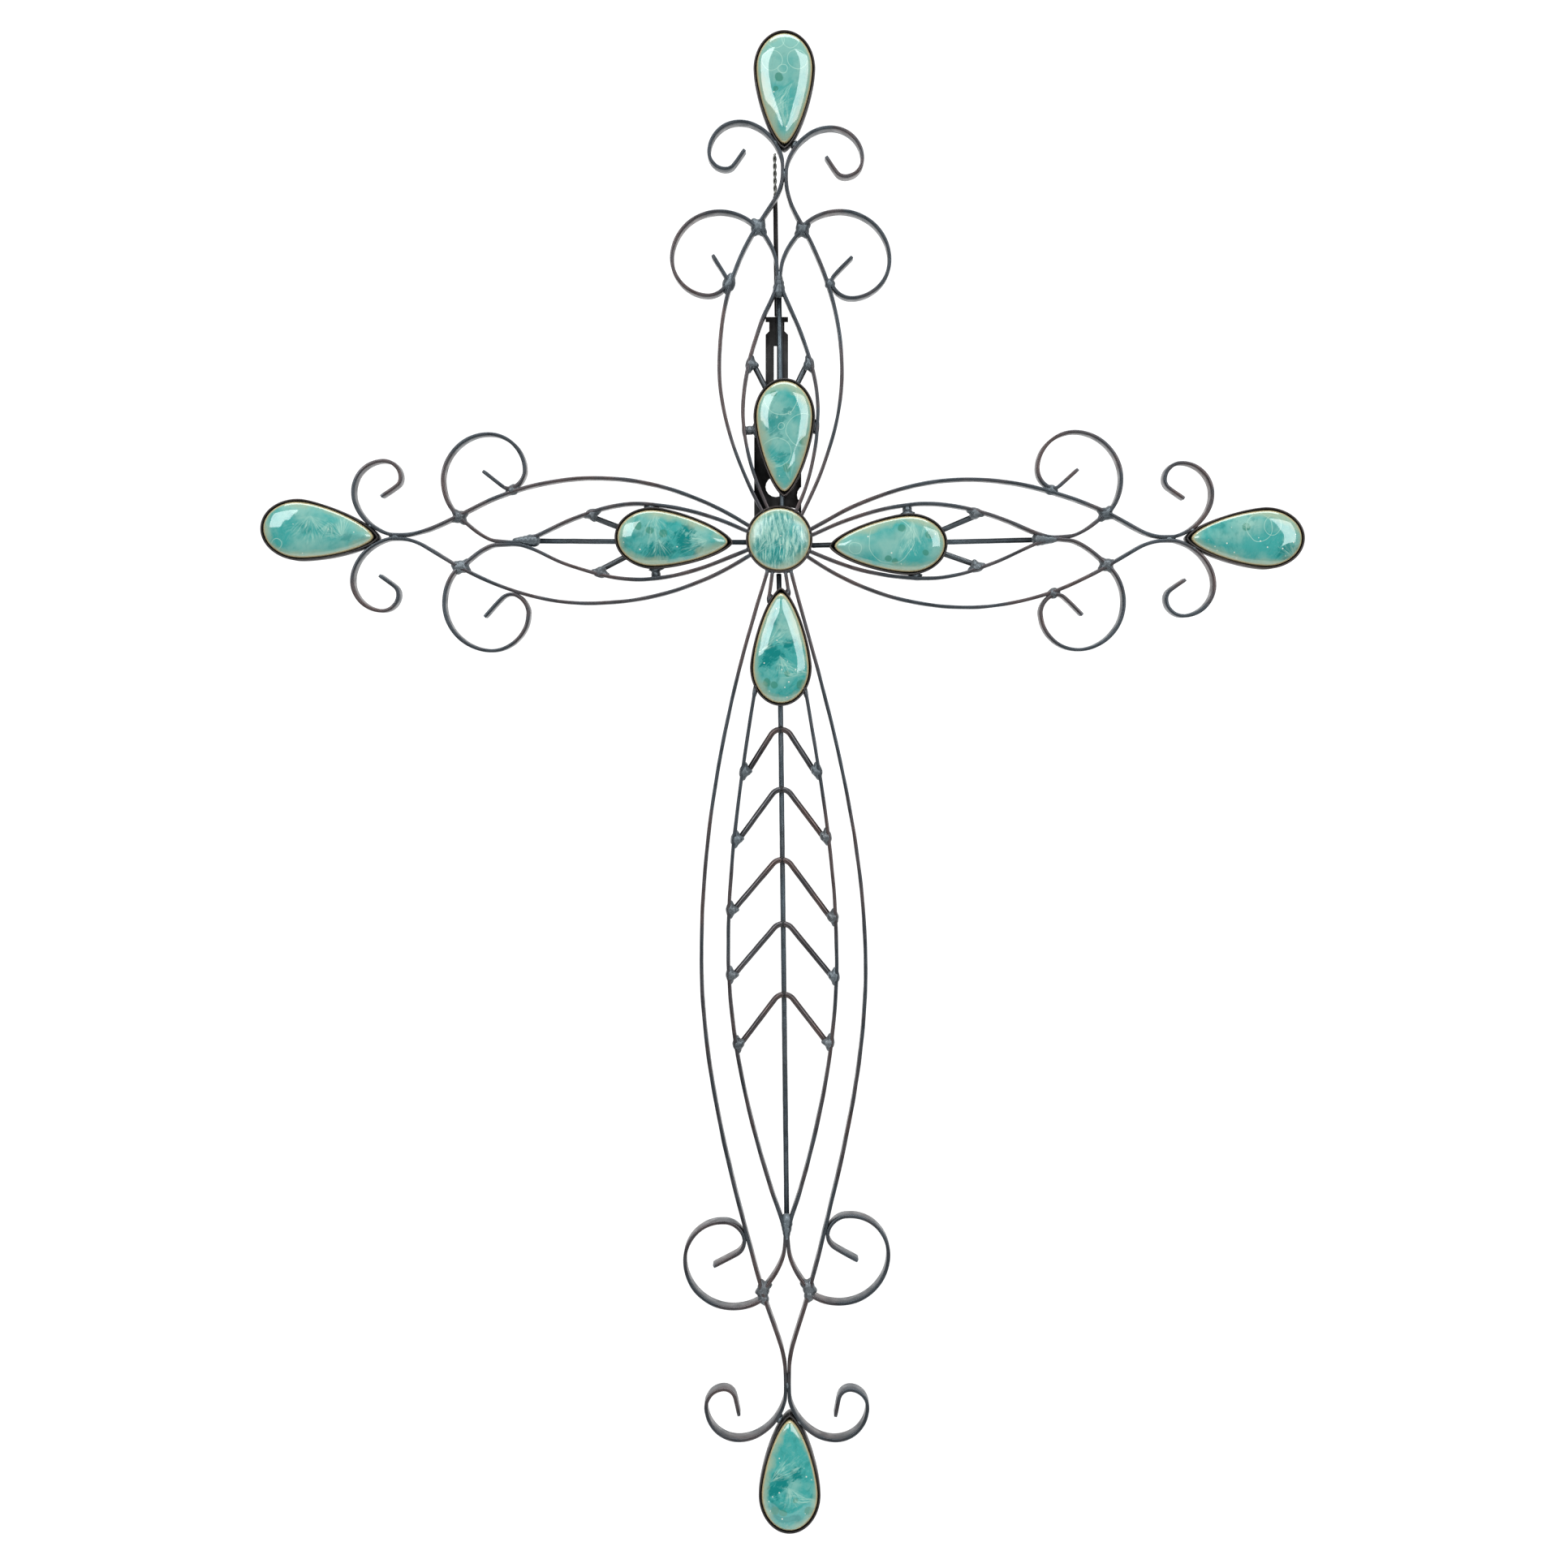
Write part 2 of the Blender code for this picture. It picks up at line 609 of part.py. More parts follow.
def free_runs(points, loops):
    """The stretches of a strip that lie clear of closed outlines."""
    fine = refine(points, TRIM_STEP)
    clear = [strip_is_clear(fine, k, [], loops) for k in range(len(fine))]
    runs, start = [], None
    for k, is_free in enumerate(clear + [False]):
        if is_free and start is None:
            start = k
        elif not is_free and start is not None:
            runs.append(fine[start:k])
            start = None
    return runs


def build_arm(name, arm, hub, materials):
    frame = bpy.data.objects.new(f"arm_{name}", None)
    bpy.context.collection.objects.link(frame)
    frame.parent = hub
    frame.rotation_euler = (0.0, math.radians(arm.turn + arm.lean), 0.0)
    sides = SIDE_NAMES[name]
    hub_loop = circle(HUB_RADIUS)
    steel, cup_steel, glaze = materials["strip"], materials["cup"], materials["stone"]

    outer = {side: simplify(outer_line(arm, side)) for side in (-1, 1)}
    outer_here = [mirror(outer[side], side) for side in (-1, 1)]
    loop, stone = inner_cup(arm, outer_here)
    tray_cup(f"cup_{name}_inner", loop, frame, cup_steel)
    stone_piece(f"stone_{name}_inner", stone, frame, glaze)
    tip_loop, tip_stone = seated_cup(arm, outer_here)
    ring_cup(f"cup_{name}_tip", tip_loop, frame, cup_steel)
    stone_piece(f"stone_{name}_tip", tip_stone, frame, glaze)

    inner_here = {}
    for side in (-1, 1):
        strip = trim_start(mirror(outer[side], side), [], [hub_loop])
        strip_piece(f"strip_{name}_{sides[side]}_outer", strip, frame, steel)
        scroll = mirror(big_scroll(arm, side, outer[side]), side)
        strip_piece(f"scroll_{name}_{sides[side]}", scroll, frame, steel)
        crossing = point_at(outer[side], arm.sides[side].cross)
        inner = mirror(inner_line(arm, side, crossing), side)
        inner = trim_end(inner, [outer_here[0 if side < 0 else 1]], [])
        runs = free_runs(inner, [hub_loop, loop])
        kinds = ("inner",) if len(runs) == 1 else ("root", "inner")
        for kind, run in zip(kinds, (runs[0], runs[-1])):
            strip_piece(f"strip_{name}_{sides[side]}_{kind}", run, frame, steel)
        inner_here[side] = simplify(runs[-1])

    lines = [inner_here[-1], inner_here[1]]
    rod_piece(f"rod_{name}", spine_rod(arm, lines), ROD_Y, ROD_DIA, frame, materials["rod"])
    for k, (apex, *feet) in enumerate(BRACES[name]):
        ends = [point_at(line, foot) for line, foot in zip(lines, feet)]
        rod_piece(f"chevron_{k + 1}" if len(BRACES[name]) > 1 else f"brace_{name}",
                  bent_v(rod_at(arm, apex), ends, lines), BRACE_Y, BRACE_DIA, frame,
                  materials["rod"], THIN_RESOLUTION)


# The hanger behind the upper arm

def arc_points(centre, radius, start, end, steps):
    return [(centre[0] + radius * math.cos(math.radians(start + (end - start) * k / steps)),
             centre[1] + radius * math.sin(math.radians(start + (end - start) * k / steps)))
            for k in range(steps + 1)]


def plate_outline():
    """Plate, split sleeve, neck and collar as one outline of (x, z), drawn clockwise."""
    left, right = SLEEVE_X - SLEEVE_WIDTH / 2, SLEEVE_X + SLEEVE_WIDTH / 2
    neck_left, neck_right = SLEEVE_X - NECK_WIDTH / 2, SLEEVE_X + NECK_WIDTH / 2
    shoulder = SLEEVE_TOP - (SLEEVE_WIDTH - NECK_WIDTH) / 2
    collar_bottom = NECK_TOP
    c = PLATE_CORNER
    points = [(neck_left, collar_bottom), (SLEEVE_X - COLLAR_WIDTH / 2, collar_bottom),
              (SLEEVE_X - COLLAR_WIDTH / 2, COLLAR_TOP), (SLEEVE_X + COLLAR_WIDTH / 2, COLLAR_TOP),
              (SLEEVE_X + COLLAR_WIDTH / 2, collar_bottom), (neck_right, collar_bottom),
              (neck_right, SLEEVE_TOP), (right, shoulder), (right, PLATE_TOP)]
    points += arc_points((PLATE_RIGHT - c, PLATE_TOP - c), c, 90, 0, 3)
    points += arc_points((PLATE_RIGHT - c, PLATE_BOTTOM + c), c, 0, -90, 3)
    points += arc_points((PLATE_LEFT + c, PLATE_BOTTOM + c), c, 270, 180, 3)
    points += arc_points((PLATE_LEFT + c, PLATE_TOP - c), c, 180, 90, 3)
    points += [(left, PLATE_TOP), (left, shoulder), (neck_left, SLEEVE_TOP)]
    return points


def hole_outline(centre):
    return arc_points(centre, PLATE_HOLE_RADIUS, 0, 360, HOLE_SIDES)[:-1]


def extruded(name, outline, y_front, y_back, parent, material):
    """A flat piece from an outline of (x, z)."""
    bm = bmesh.new()
    verts = [bm.verts.new((x * METRES_PER_MM, y_front * METRES_PER_MM, z * METRES_PER_MM))
             for x, z in outline]
    face = bm.faces.new(verts)
    grown = bmesh.ops.extrude_face_region(bm, geom=[face])["geom"]
    moved = [v for v in grown if isinstance(v, bmesh.types.BMVert)]
    bmesh.ops.translate(bm, verts=moved, vec=(0.0, (y_back - y_front) * METRES_PER_MM, 0.0))
    return finish(name, bm, parent, material)


def build_hanger(hub, materials):
    plate = extruded("hanger_plate", plate_outline(), -PLATE_THICK, 0.0, hub, materials["hanger"])
    overshoot = 2.0
    cutters = [extruded(f"cut_hole_{k + 1}", hole_outline(hole),
                        -PLATE_THICK - overshoot, overshoot, hub, materials["hanger"])
               for k, hole in enumerate(PLATE_HOLES)]
    slit = [(SLEEVE_X - SLIT_WIDTH, SLIT_BOTTOM), (SLEEVE_X, SLIT_BOTTOM),
            (SLEEVE_X, SLIT_TOP), (SLEEVE_X - SLIT_WIDTH, SLIT_TOP)]
    cutters.append(extruded("cut_slit", slit, -PLATE_THICK - overshoot, overshoot, hub,
                            materials["hanger"]))
    for cutter in cutters:
        cutter.hide_render = True
        cutter.display_type = "WIRE"
        cut = plate.modifiers.new(cutter.name, "BOOLEAN")
        cut.operation = "DIFFERENCE"
        cut.object = cutter

    def hanging(z):
        return (z, SLEEVE_X - (z - COLLAR_TOP) * math.tan(math.radians(HANGER_LEAN)))

    y = -PLATE_THICK / 2
    rod_piece("hanger_rod", [hanging(COLLAR_TOP + GAP), hanging(HANGER_ROD_TOP)], y,
              HANGER_ROD_DIA, hub, materials["hanger"])
    rod_piece("hanger_wire", [hanging(HANGER_ROD_TOP + GAP), hanging(WIRE_TOP)], y, WIRE_DIA, hub,
              materials["wire"], THIN_RESOLUTION)


def build():
    for old in list(bpy.data.objects):
        bpy.data.objects.remove(old, do_unlink=True)
    materials = {
        "strip": principled("strip_steel", (0.115, 0.122, 0.135), 0.85, 0.45),
        "rod": principled("rod_steel", (0.125, 0.140, 0.158), 0.85, 0.42),
        "cup": principled("cup_steel", (0.060, 0.058, 0.058), 0.80, 0.50),
        "stone": principled("crystalline_glaze", (0.30, 0.62, 0.60), 0.0, 0.08),
        "hanger": principled("hanger_steel", (0.040, 0.035, 0.034), 0.60, 0.55),
        "wire": principled("twisted_wire", (0.33, 0.34, 0.31), 0.85, 0.40),
    }
    hub = bpy.data.objects.new("cross", None)
    bpy.context.collection.objects.link(hub)
    hub.location = (0.0, 0.0, -HUB_BELOW_MOUNT * METRES_PER_MM)
    ring_cup("cup_hub", circle(HUB_RADIUS), hub, materials["cup"])
    stone_piece("stone_hub", circle(HUB_RADIUS - CUP_WALL - STONE_PLAY), hub, materials["stone"])
    for name, arm in ARMS.items():
        build_arm(name, arm, hub, materials)
    build_hanger(hub, materials)


build()
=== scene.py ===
"""Looks of the metal wall cross: forged bars, rods, weld beads, cups and glazed stones."""
import math
from collections import namedtuple

import bmesh
import bpy
import numpy as np
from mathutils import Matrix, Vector, noise
from mathutils.geometry import convex_hull_2d


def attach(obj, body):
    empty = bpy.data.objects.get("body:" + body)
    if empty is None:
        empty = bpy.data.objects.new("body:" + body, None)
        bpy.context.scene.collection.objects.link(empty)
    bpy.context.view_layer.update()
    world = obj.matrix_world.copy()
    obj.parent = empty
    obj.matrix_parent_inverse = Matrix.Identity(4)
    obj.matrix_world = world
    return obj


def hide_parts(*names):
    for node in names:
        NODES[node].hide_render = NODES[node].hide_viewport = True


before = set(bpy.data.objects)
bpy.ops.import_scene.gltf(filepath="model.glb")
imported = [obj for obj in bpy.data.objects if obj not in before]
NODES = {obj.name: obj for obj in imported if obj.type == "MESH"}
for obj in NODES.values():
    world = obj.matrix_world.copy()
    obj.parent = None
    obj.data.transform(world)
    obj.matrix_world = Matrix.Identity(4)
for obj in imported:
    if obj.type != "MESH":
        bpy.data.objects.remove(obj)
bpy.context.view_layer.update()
MM, CM = 0.001, 0.01

# Reading the frame: how flat a face is, in degrees, and how near two corners are
FLAT_WITHIN, SAME_POINT = 0.5, 1e-6

# Bars. Unevenness is an amount and the distance over which it changes.
BAR_DEEP = 12.7 * MM
BAR_EDGE = 0.5 * MM           # rounding of the bar's long edges
BAR_FULLNESS = 1.07           # scale and hammering make a bar a little thicker than its solid
BAR_END_TAPER = 0.86
EDGE_STEPS = 3
HAMMERED, HAMMERED_SPAN = 0.10, 0.011
SWAY, SWAY_SPAN = 0.16 * MM, 0.016
LIFT, LIFT_SPAN = 0.22 * MM, 0.030
SWEEP_STEP = 1.6 * MM

# Rods and the twisted wire
ROD_SIDES, ROD_STEP = 14, 2.5 * MM
ROD_ROUGH, ROD_ROUGH_SPAN = 0.05, 0.006
ROD_END_SCALE, ROD_END_INSET = 0.72, 0.3           # a rod's end, and its rounding in radii
APEX_RADIUS, APEX_STEPS = 7.0 * MM, 9
STRAND, STRAND_ORBIT, STRAND_PITCH = 0.62 * MM, 0.58 * MM, 9.0 * MM
STRAND_SIDES, STEPS_A_TURN, STRAND_ROUGH = 10, 18, 0.04

# Hanger plate
PLATE_EDGE, PLATE_EDGE_ANGLE = 0.35 * MM, 60.0
IN_ONE_LAYER = 1e-5

# Cups
CUP_SIDES = 120
CUP_WALL = 1.0 * MM
RIM_ROUND = 0.35 * MM
RIM_FLAT_FROM, RIM_FLAT_TO = 0.3, 0.7              # the rim's flat top, as shares of the wall
FLOOR_ROUND, FLOOR_ROUND_WALLS = 0.4 * MM, 1.6     # the floor's corner: rise, and reach in walls
RIM_ZONE, RIM_LIFT, RIM_LIFT_SPAN = 1.2 * MM, 0.25 * MM, 0.012
ROUND_WITHIN = 1.1            # a hull with longest and shortest reach this near is a circle

# Stones
DOME_RINGS, DOME_LAST_ANGLE, DOME_CROWDING = 30, 88.0, 0.7
EDGE_ROLL, EDGE_RISE = 1.3 * MM, 1.2 * MM          # the glaze's rolled edge: reach and rise
SHOULDER, SHOULDER_RISE = 14.0 * MM, 3.0 * MM      # the shoulder above it
SHOULDER_POWER = 2.9
DOME_SMOOTHING = 6
GLAZE_SAG, GLAZE_SAG_SPAN = 0.2 * MM, 0.016
STONE_CREASE = 80.0
TIP_SOFTENING, TIP_EXTRA = 24, 1.2 * MM
STONE_SPREAD = 0.4 * MM       # how far the poured glaze stands out past the stone's solid
WIDEST_AT = 0.33              # teardrop's widest place, as a share of its length, from its round end
TAPER_POWER, TAPER_FULLNESS = 1.42, 0.66           # how a teardrop narrows towards its point

# Noise is read at a place moved by the seed times SEED_SHIFT. CREASE is in degrees.
SEED_SHIFT = (7.3, 3.1, 5.7)
SWAY_SEED, LIFT_SEED = 11, 23
CREASE = 50.0


# Reading the frame

def coords(name):
    """A node's vertices as an array, in metres."""
    mesh = NODES[name].data
    points = np.empty(len(mesh.vertices) * 3)
    mesh.vertices.foreach_get("co", points)
    return points.reshape(-1, 3)


def make_whole(bm):
    """Joins a mesh's doubled corners and dissolves the edges inside its flat faces."""
    bmesh.ops.remove_doubles(bm, verts=bm.verts, dist=SAME_POINT)
    bmesh.ops.dissolve_limit(bm, angle_limit=math.radians(FLAT_WITHIN), verts=bm.verts,
                             edges=bm.edges)


def faces_of(name):
    """A node's flat faces, whole again: a list of normals and corner points."""
    bm = bmesh.new()
    bm.from_mesh(NODES[name].data)
    make_whole(bm)
    faces = [(np.array(f.normal), np.array([v.co for v in f.verts])) for f in bm.faces]
    bm.free()
    return faces


def strip_path(name):
    """A bar's middle line as points (x, z), read from its front face, and its thickness."""
    _, loop = min(faces_of(name), key=lambda f: f[0][1] * len(f[1]))
    loop = loop[:, (0, 2)]
    half = len(loop) // 2

    def widths(shift):
        turned = np.roll(loop, -shift, axis=0)
        return turned[:half], turned[half:][::-1]

    best = min(range(half), key=lambda s: float(
        np.linalg.norm(np.subtract(*widths(s)), axis=1).max()))
    one, other = widths(best)
    return (one + other) / 2, float(np.linalg.norm(one - other, axis=1).min())


def caps(name):
    """Middle points and outward normals of a rod's two flat ends, and the rod's radius."""
    found = sorted(faces_of(name), key=lambda f: -len(f[1]))[:2]
    radius = float(np.linalg.norm(found[0][1] - found[0][1].mean(axis=0), axis=1).max())
    return [(points.mean(axis=0), normal) for normal, points in found] + [radius]


# Curves

def smooth_path(points, step):
    """A smooth line through points, resampled at about step."""
    n = len(points)
    tangents = np.gradient(points, axis=0)
    tangents[1:-1] = points[2:] - points[:-2]
    tangents /= np.linalg.norm(tangents, axis=1)[:, None]
    line = []
    for k in range(n - 1):
        a, b = points[k], points[k + 1]
        length = np.linalg.norm(b - a)
        count = max(1, round(length / step))
        s = np.arange(count)[:, None] / count
        line.append((2 * s**3 - 3 * s**2 + 1) * a + (s**3 - 2 * s**2 + s) * length * tangents[k]
                    + (3 * s**2 - 2 * s**3) * b + (s**3 - s**2) * length * tangents[k + 1])
    return np.vstack(line + [points[-1:]])


def softened(loop, rounds, extra):
    """A closed outline with its corner rounded off, and longer than before by extra."""
    soft = loop.copy()
    for _ in range(rounds):
        soft = (np.roll(soft, 1, axis=0) + 2 * soft + np.roll(soft, -1, axis=0)) / 4
    far = loop[len(loop) // 2]
    length = np.linalg.norm(loop[0] - far)
    axis = (loop[0] - far) / length
    along = (soft - far) @ axis
    grown = np.where(along > 0, along * (length + extra) / along[0], along)
    return soft + (grown - along)[:, None] * axis


def depth_inside(points, loop):
    """Distance of each point from a closed outline."""
    run = np.roll(loop, -1, axis=0) - loop
    offset = points[:, None] - loop[None]
    share = np.clip((offset * run).sum(axis=2) / (run * run).sum(axis=1), 0.0, 1.0)
    return np.linalg.norm(offset - share[..., None] * run, axis=2).min(axis=1)


def unit(vector):
    return vector / np.linalg.norm(vector)


def directions(path, closed=False):
    """Unit vectors along a line, one at each point."""
    if closed:
        ahead = np.roll(path, -1, axis=0) - np.roll(path, 1, axis=0)
    else:
        ahead = np.gradient(path, axis=0)
    return ahead / np.linalg.norm(ahead, axis=1)[:, None]


def teardrop(length, width, count):
    """Outline with its point at the origin and its round end at (length, 0)."""
    point_end = length * (1 - WIDEST_AT)
    angle = 2 * math.pi * np.arange(count) / count
    reach = np.cos(angle)
    narrowed = (1 - np.abs(reach)**TAPER_POWER)**TAPER_FULLNESS
    share = np.where(reach > 0, narrowed, np.abs(np.sin(angle)))
    u = np.where(reach > 0, point_end * (1 - reach), point_end - length * WIDEST_AT * reach)
    return np.column_stack((u, np.sign(np.sin(angle)) * width / 2 * share))


class Outline:
    """The exact outline that a faceted cup or stone stands for, found from its facets."""

    def __init__(self, name):
        flat = coords(name)[:, (0, 2)]
        hull = flat[convex_hull_2d([Vector(p) for p in flat])]
        centre = hull.mean(axis=0)
        reach = np.linalg.norm(hull - centre, axis=1)
        self.round = reach.max() < reach.min() * ROUND_WITHIN
        if self.round:
            self.centre, self.radius = centre, reach.max()
            return
        self.tip = hull[int(np.argmax(reach))]
        far = hull[int(np.argmax(np.linalg.norm(hull - self.tip, axis=1)))]
        self.length = float(np.linalg.norm(far - self.tip))
        self.axis = (far - self.tip) / self.length
        self.across = np.array((-self.axis[1], self.axis[0]))
        self.width = float(np.ptp(hull @ self.across))
        self.centre = self.tip + self.axis * self.length * (1 - WIDEST_AT)

    def points(self, count, grow=0.0):
        """The outline as (x, z), moved outwards by grow."""
        if self.round:
            angle = 2 * math.pi * np.arange(count) / count
            flat = np.column_stack((np.cos(angle), np.sin(angle))) * (self.radius + grow)
            return self.centre + flat
        flat = teardrop(self.length, self.width, count)
        ahead = directions(flat, closed=True)
        flat = flat + np.column_stack((-ahead[:, 1], ahead[:, 0])) * grow
        return self.tip + flat[:, :1] * self.axis + flat[:, 1:] * self.across


# Meshes

def add_object(name, bm, material, replaced=(), crease=CREASE):
    """A mesh as a piece of the root body, smooth but for edges sharper than crease."""
    bmesh.ops.recalc_face_normals(bm, faces=bm.faces)
    mesh = bpy.data.meshes.new(name)
    bm.to_mesh(mesh)
    bm.free()
    mesh.shade_smooth()
    mesh.set_sharp_from_angle(angle=math.radians(crease))
    mesh.materials.append(material)
    piece = bpy.data.objects.new(name, mesh)
    bpy.context.collection.objects.link(piece)
    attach(piece, "root")
    if replaced:
        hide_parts(*replaced)
    return piece


def skin(bm, rings):
    """Quads between rings of the same number of points, and a face over each end."""
    loops = [[bm.verts.new(p) for p in ring] for ring in rings]
    for one, other in zip(loops, loops[1:]):
        for k in range(len(one)):
            n = (k + 1) % len(one)
            bm.faces.new((one[k], one[n], other[n], other[k]))
    bm.faces.new(loops[0])
    bm.faces.new(loops[-1])
    return loops


def wobble(point, scale, seed):
    """Smooth noise from -1 to 1, different for each seed."""
    return noise.noise(Vector(point) / scale + Vector([seed * shift for shift in SEED_SHIFT]))


def bar_section(thick, deep, edge):
    """A rounded rectangle: offsets across the bar and along its depth."""
    section = []
    for corner_x, corner_y, start in ((1, 1, 0), (-1, 1, 90), (-1, -1, 180), (1, -1, 270)):
        for step in range(EDGE_STEPS):
            angle = math.radians(start + 90 * step / (EDGE_STEPS - 1))
            section.append((corner_x * (thick / 2 - edge) + edge * math.cos(angle),
                            corner_y * (deep / 2 - edge) + edge * math.sin(angle)))
    return section


def bar_piece(name, material, seed):
    """A hand-bent flat bar in place of a faceted strip, with a slight hammered unevenness."""
    coarse, bar_thick = strip_path(name)
    path = smooth_path(coarse, SWEEP_STEP)
    ahead = directions(path)
    middle = coords(name)[:, 1].mean()
    bm = bmesh.new()
    rings = []
    for k, (point, along) in enumerate(zip(path, ahead)):
        here = (point[0], 0.0, point[1])
        thick = bar_thick * (BAR_FULLNESS + HAMMERED * wobble(here, HAMMERED_SPAN, seed))
        sway = SWAY * wobble(here, SWAY_SPAN, seed + SWAY_SEED)
        lift = LIFT * wobble(here, LIFT_SPAN, seed + LIFT_SEED)
        taper = BAR_END_TAPER if k in (0, len(path) - 1) else 1.0
        across = np.array((-along[1], along[0]))
        ring = []
        for a, b in bar_section(thick * taper, BAR_DEEP - 2 * BAR_EDGE * (1 - taper), BAR_EDGE):
            flat = point + across * (a + sway)
            ring.append((flat[0], middle + b + lift, flat[1]))
        rings.append(ring)
    skin(bm, rings)
    add_object(f"{name}_forged", bm, material, (name,))
    return path


def tube_rings(points, radius, seed, sides=ROD_SIDES, rough=ROD_ROUGH):
    """Rings round a line of 3-D points, with slightly uneven thickness."""
    points = np.array(points)
    ahead = directions(points)
    rings = []
    for point, along in zip(points, ahead):
        side = unit(np.cross(along, (0.0, 1.0, 0.0)))
        up = np.cross(side, along)
        ring = []
        for k in range(sides):
            angle = 2 * math.pi * k / sides
            out = side * math.cos(angle) + up * math.sin(angle)
            grow = 1 + rough * wobble(point + out * radius * 2, ROD_ROUGH_SPAN, seed)
            ring.append(point + out * radius * grow)
        rings.append(ring)
    return rings


def with_ends(rings, points, radius):
    """Rings with a rod's ends rounded off."""
    tips = []
    for end, inner in ((0, 1), (-1, -2)):
        at = points[end]
        tips.append([at + (p - at) * ROD_END_SCALE for p in rings[end]])
        inset = unit(points[inner] - at) * radius * ROD_END_INSET
        rings[end] = [p + inset for p in rings[end]]
    return [tips[0]] + rings + [tips[1]]


def resample(points, step):
    """A line of straight runs with points at about step."""
    points = np.array(points)
    line = [points[:1]]
    for a, b in zip(points[:-1], points[1:]):
        count = max(1, round(float(np.linalg.norm(b - a)) / step))
        line.append(a + (b - a) * (np.arange(1, count + 1)[:, None] / count))
    return np.vstack(line)


def round_rod(name, line, radius, material, seed):
    bm = bmesh.new()
    skin(bm, with_ends(tube_rings(line, radius, seed), line, radius))
    add_object(f"{name}_round", bm, material, (name,))


def straight_rod(name, material, seed):
    """A straight round rod in place of a faceted one."""
    (start, _), (end, _), radius = caps(name)
    round_rod(name, resample((start, end), ROD_STEP), radius, material, seed)


def bent_rod(name, material, seed):
    """A V of round rod: two legs and a rounded apex, from the faceted rod's two ends.

    Gives its middle line as points (x, z).
    """
    (start, normal_a), (end, normal_b), radius = caps(name)
    a, b = -normal_a[[0, 2]], -normal_b[[0, 2]]
    p, q = start[[0, 2]], end[[0, 2]]
    reach = np.linalg.solve(np.column_stack((a, -b)), q - p)[0]
    apex = p + a * reach
    one, other = unit(p - apex), unit(q - apex)
    middle = unit(one + other)
    half = math.acos(float(one @ middle))
    centre = apex + middle * APEX_RADIUS / math.sin(half)
    first = apex + one * APEX_RADIUS / math.tan(half)
    last = apex + other * APEX_RADIUS / math.tan(half)
    share = np.linspace(0.0, 1.0, APEX_STEPS)[1:-1, None]
    arc = first + (last - first) * share - centre
    arc = centre + arc / np.linalg.norm(arc, axis=1)[:, None] * APEX_RADIUS
    flat = np.vstack((resample((p, first), ROD_STEP), arc, resample((last, q), ROD_STEP)))
    line = np.column_stack((flat[:, 0], np.full(len(flat), start[1]), flat[:, 1]))
    round_rod(name, line, radius, material, seed)
    return flat


def cup_piece(name, material, inside, seed):
    """A thin-walled cup with a rolled, slightly uneven rim, its inner wall and floor painted
    near-black as shade: its outline.
    """
    outline = Outline(name)
    points = coords(name)
    front, back = points[:, 1].min(), points[:, 1].max()
    layers = np.unique(np.round(points[:, 1], 5))
    floor = float(layers[1])
    levels = [(0.0, back), (0.0, front + RIM_ROUND), (-RIM_FLAT_FROM * CUP_WALL, front),
              (-RIM_FLAT_TO * CUP_WALL, front), (-CUP_WALL, front + RIM_ROUND),
              (-CUP_WALL, floor - FLOOR_ROUND), (-FLOOR_ROUND_WALLS * CUP_WALL, floor)]
    if len(layers) == 4:
        # a cup whose back is open behind its floor
        levels = [(-CUP_WALL, float(layers[2])), (-CUP_WALL, back)] + levels
    bm = bmesh.new()
    rings = []
    for grow, y in levels:
        ring = []
        for x, z in outline.points(CUP_SIDES, grow):
            at_rim = y < front + RIM_ZONE
            lift = RIM_LIFT * wobble((x, 0.0, z), RIM_LIFT_SPAN, seed) if at_rim else 0.0
            ring.append((x, y + lift, z))
        rings.append(ring)
    loops = skin(bm, rings)
    # the inner wall and floor take the second material, a near-black painted shade
    deep = {vert for loop in loops[-3:] for vert in loop}
    for face in bm.faces:
        face.material_index = int(all(vert in deep for vert in face.verts))
    piece = add_object(f"{name}_formed", bm, material, (name,))
    piece.data.materials.append(inside)
    return outline


def dome_height(inwards):
    """Height of a cabochon's glazed face above its edge, at distances in from the edge."""
    roll = 1 - np.clip(inwards / EDGE_ROLL, 0.0, 1.0)
    rise = 1 - np.clip(inwards / SHOULDER, 0.0, 1.0)
    return EDGE_RISE * np.sqrt(1 - roll**2) + SHOULDER_RISE * (1 - rise**SHOULDER_POWER)


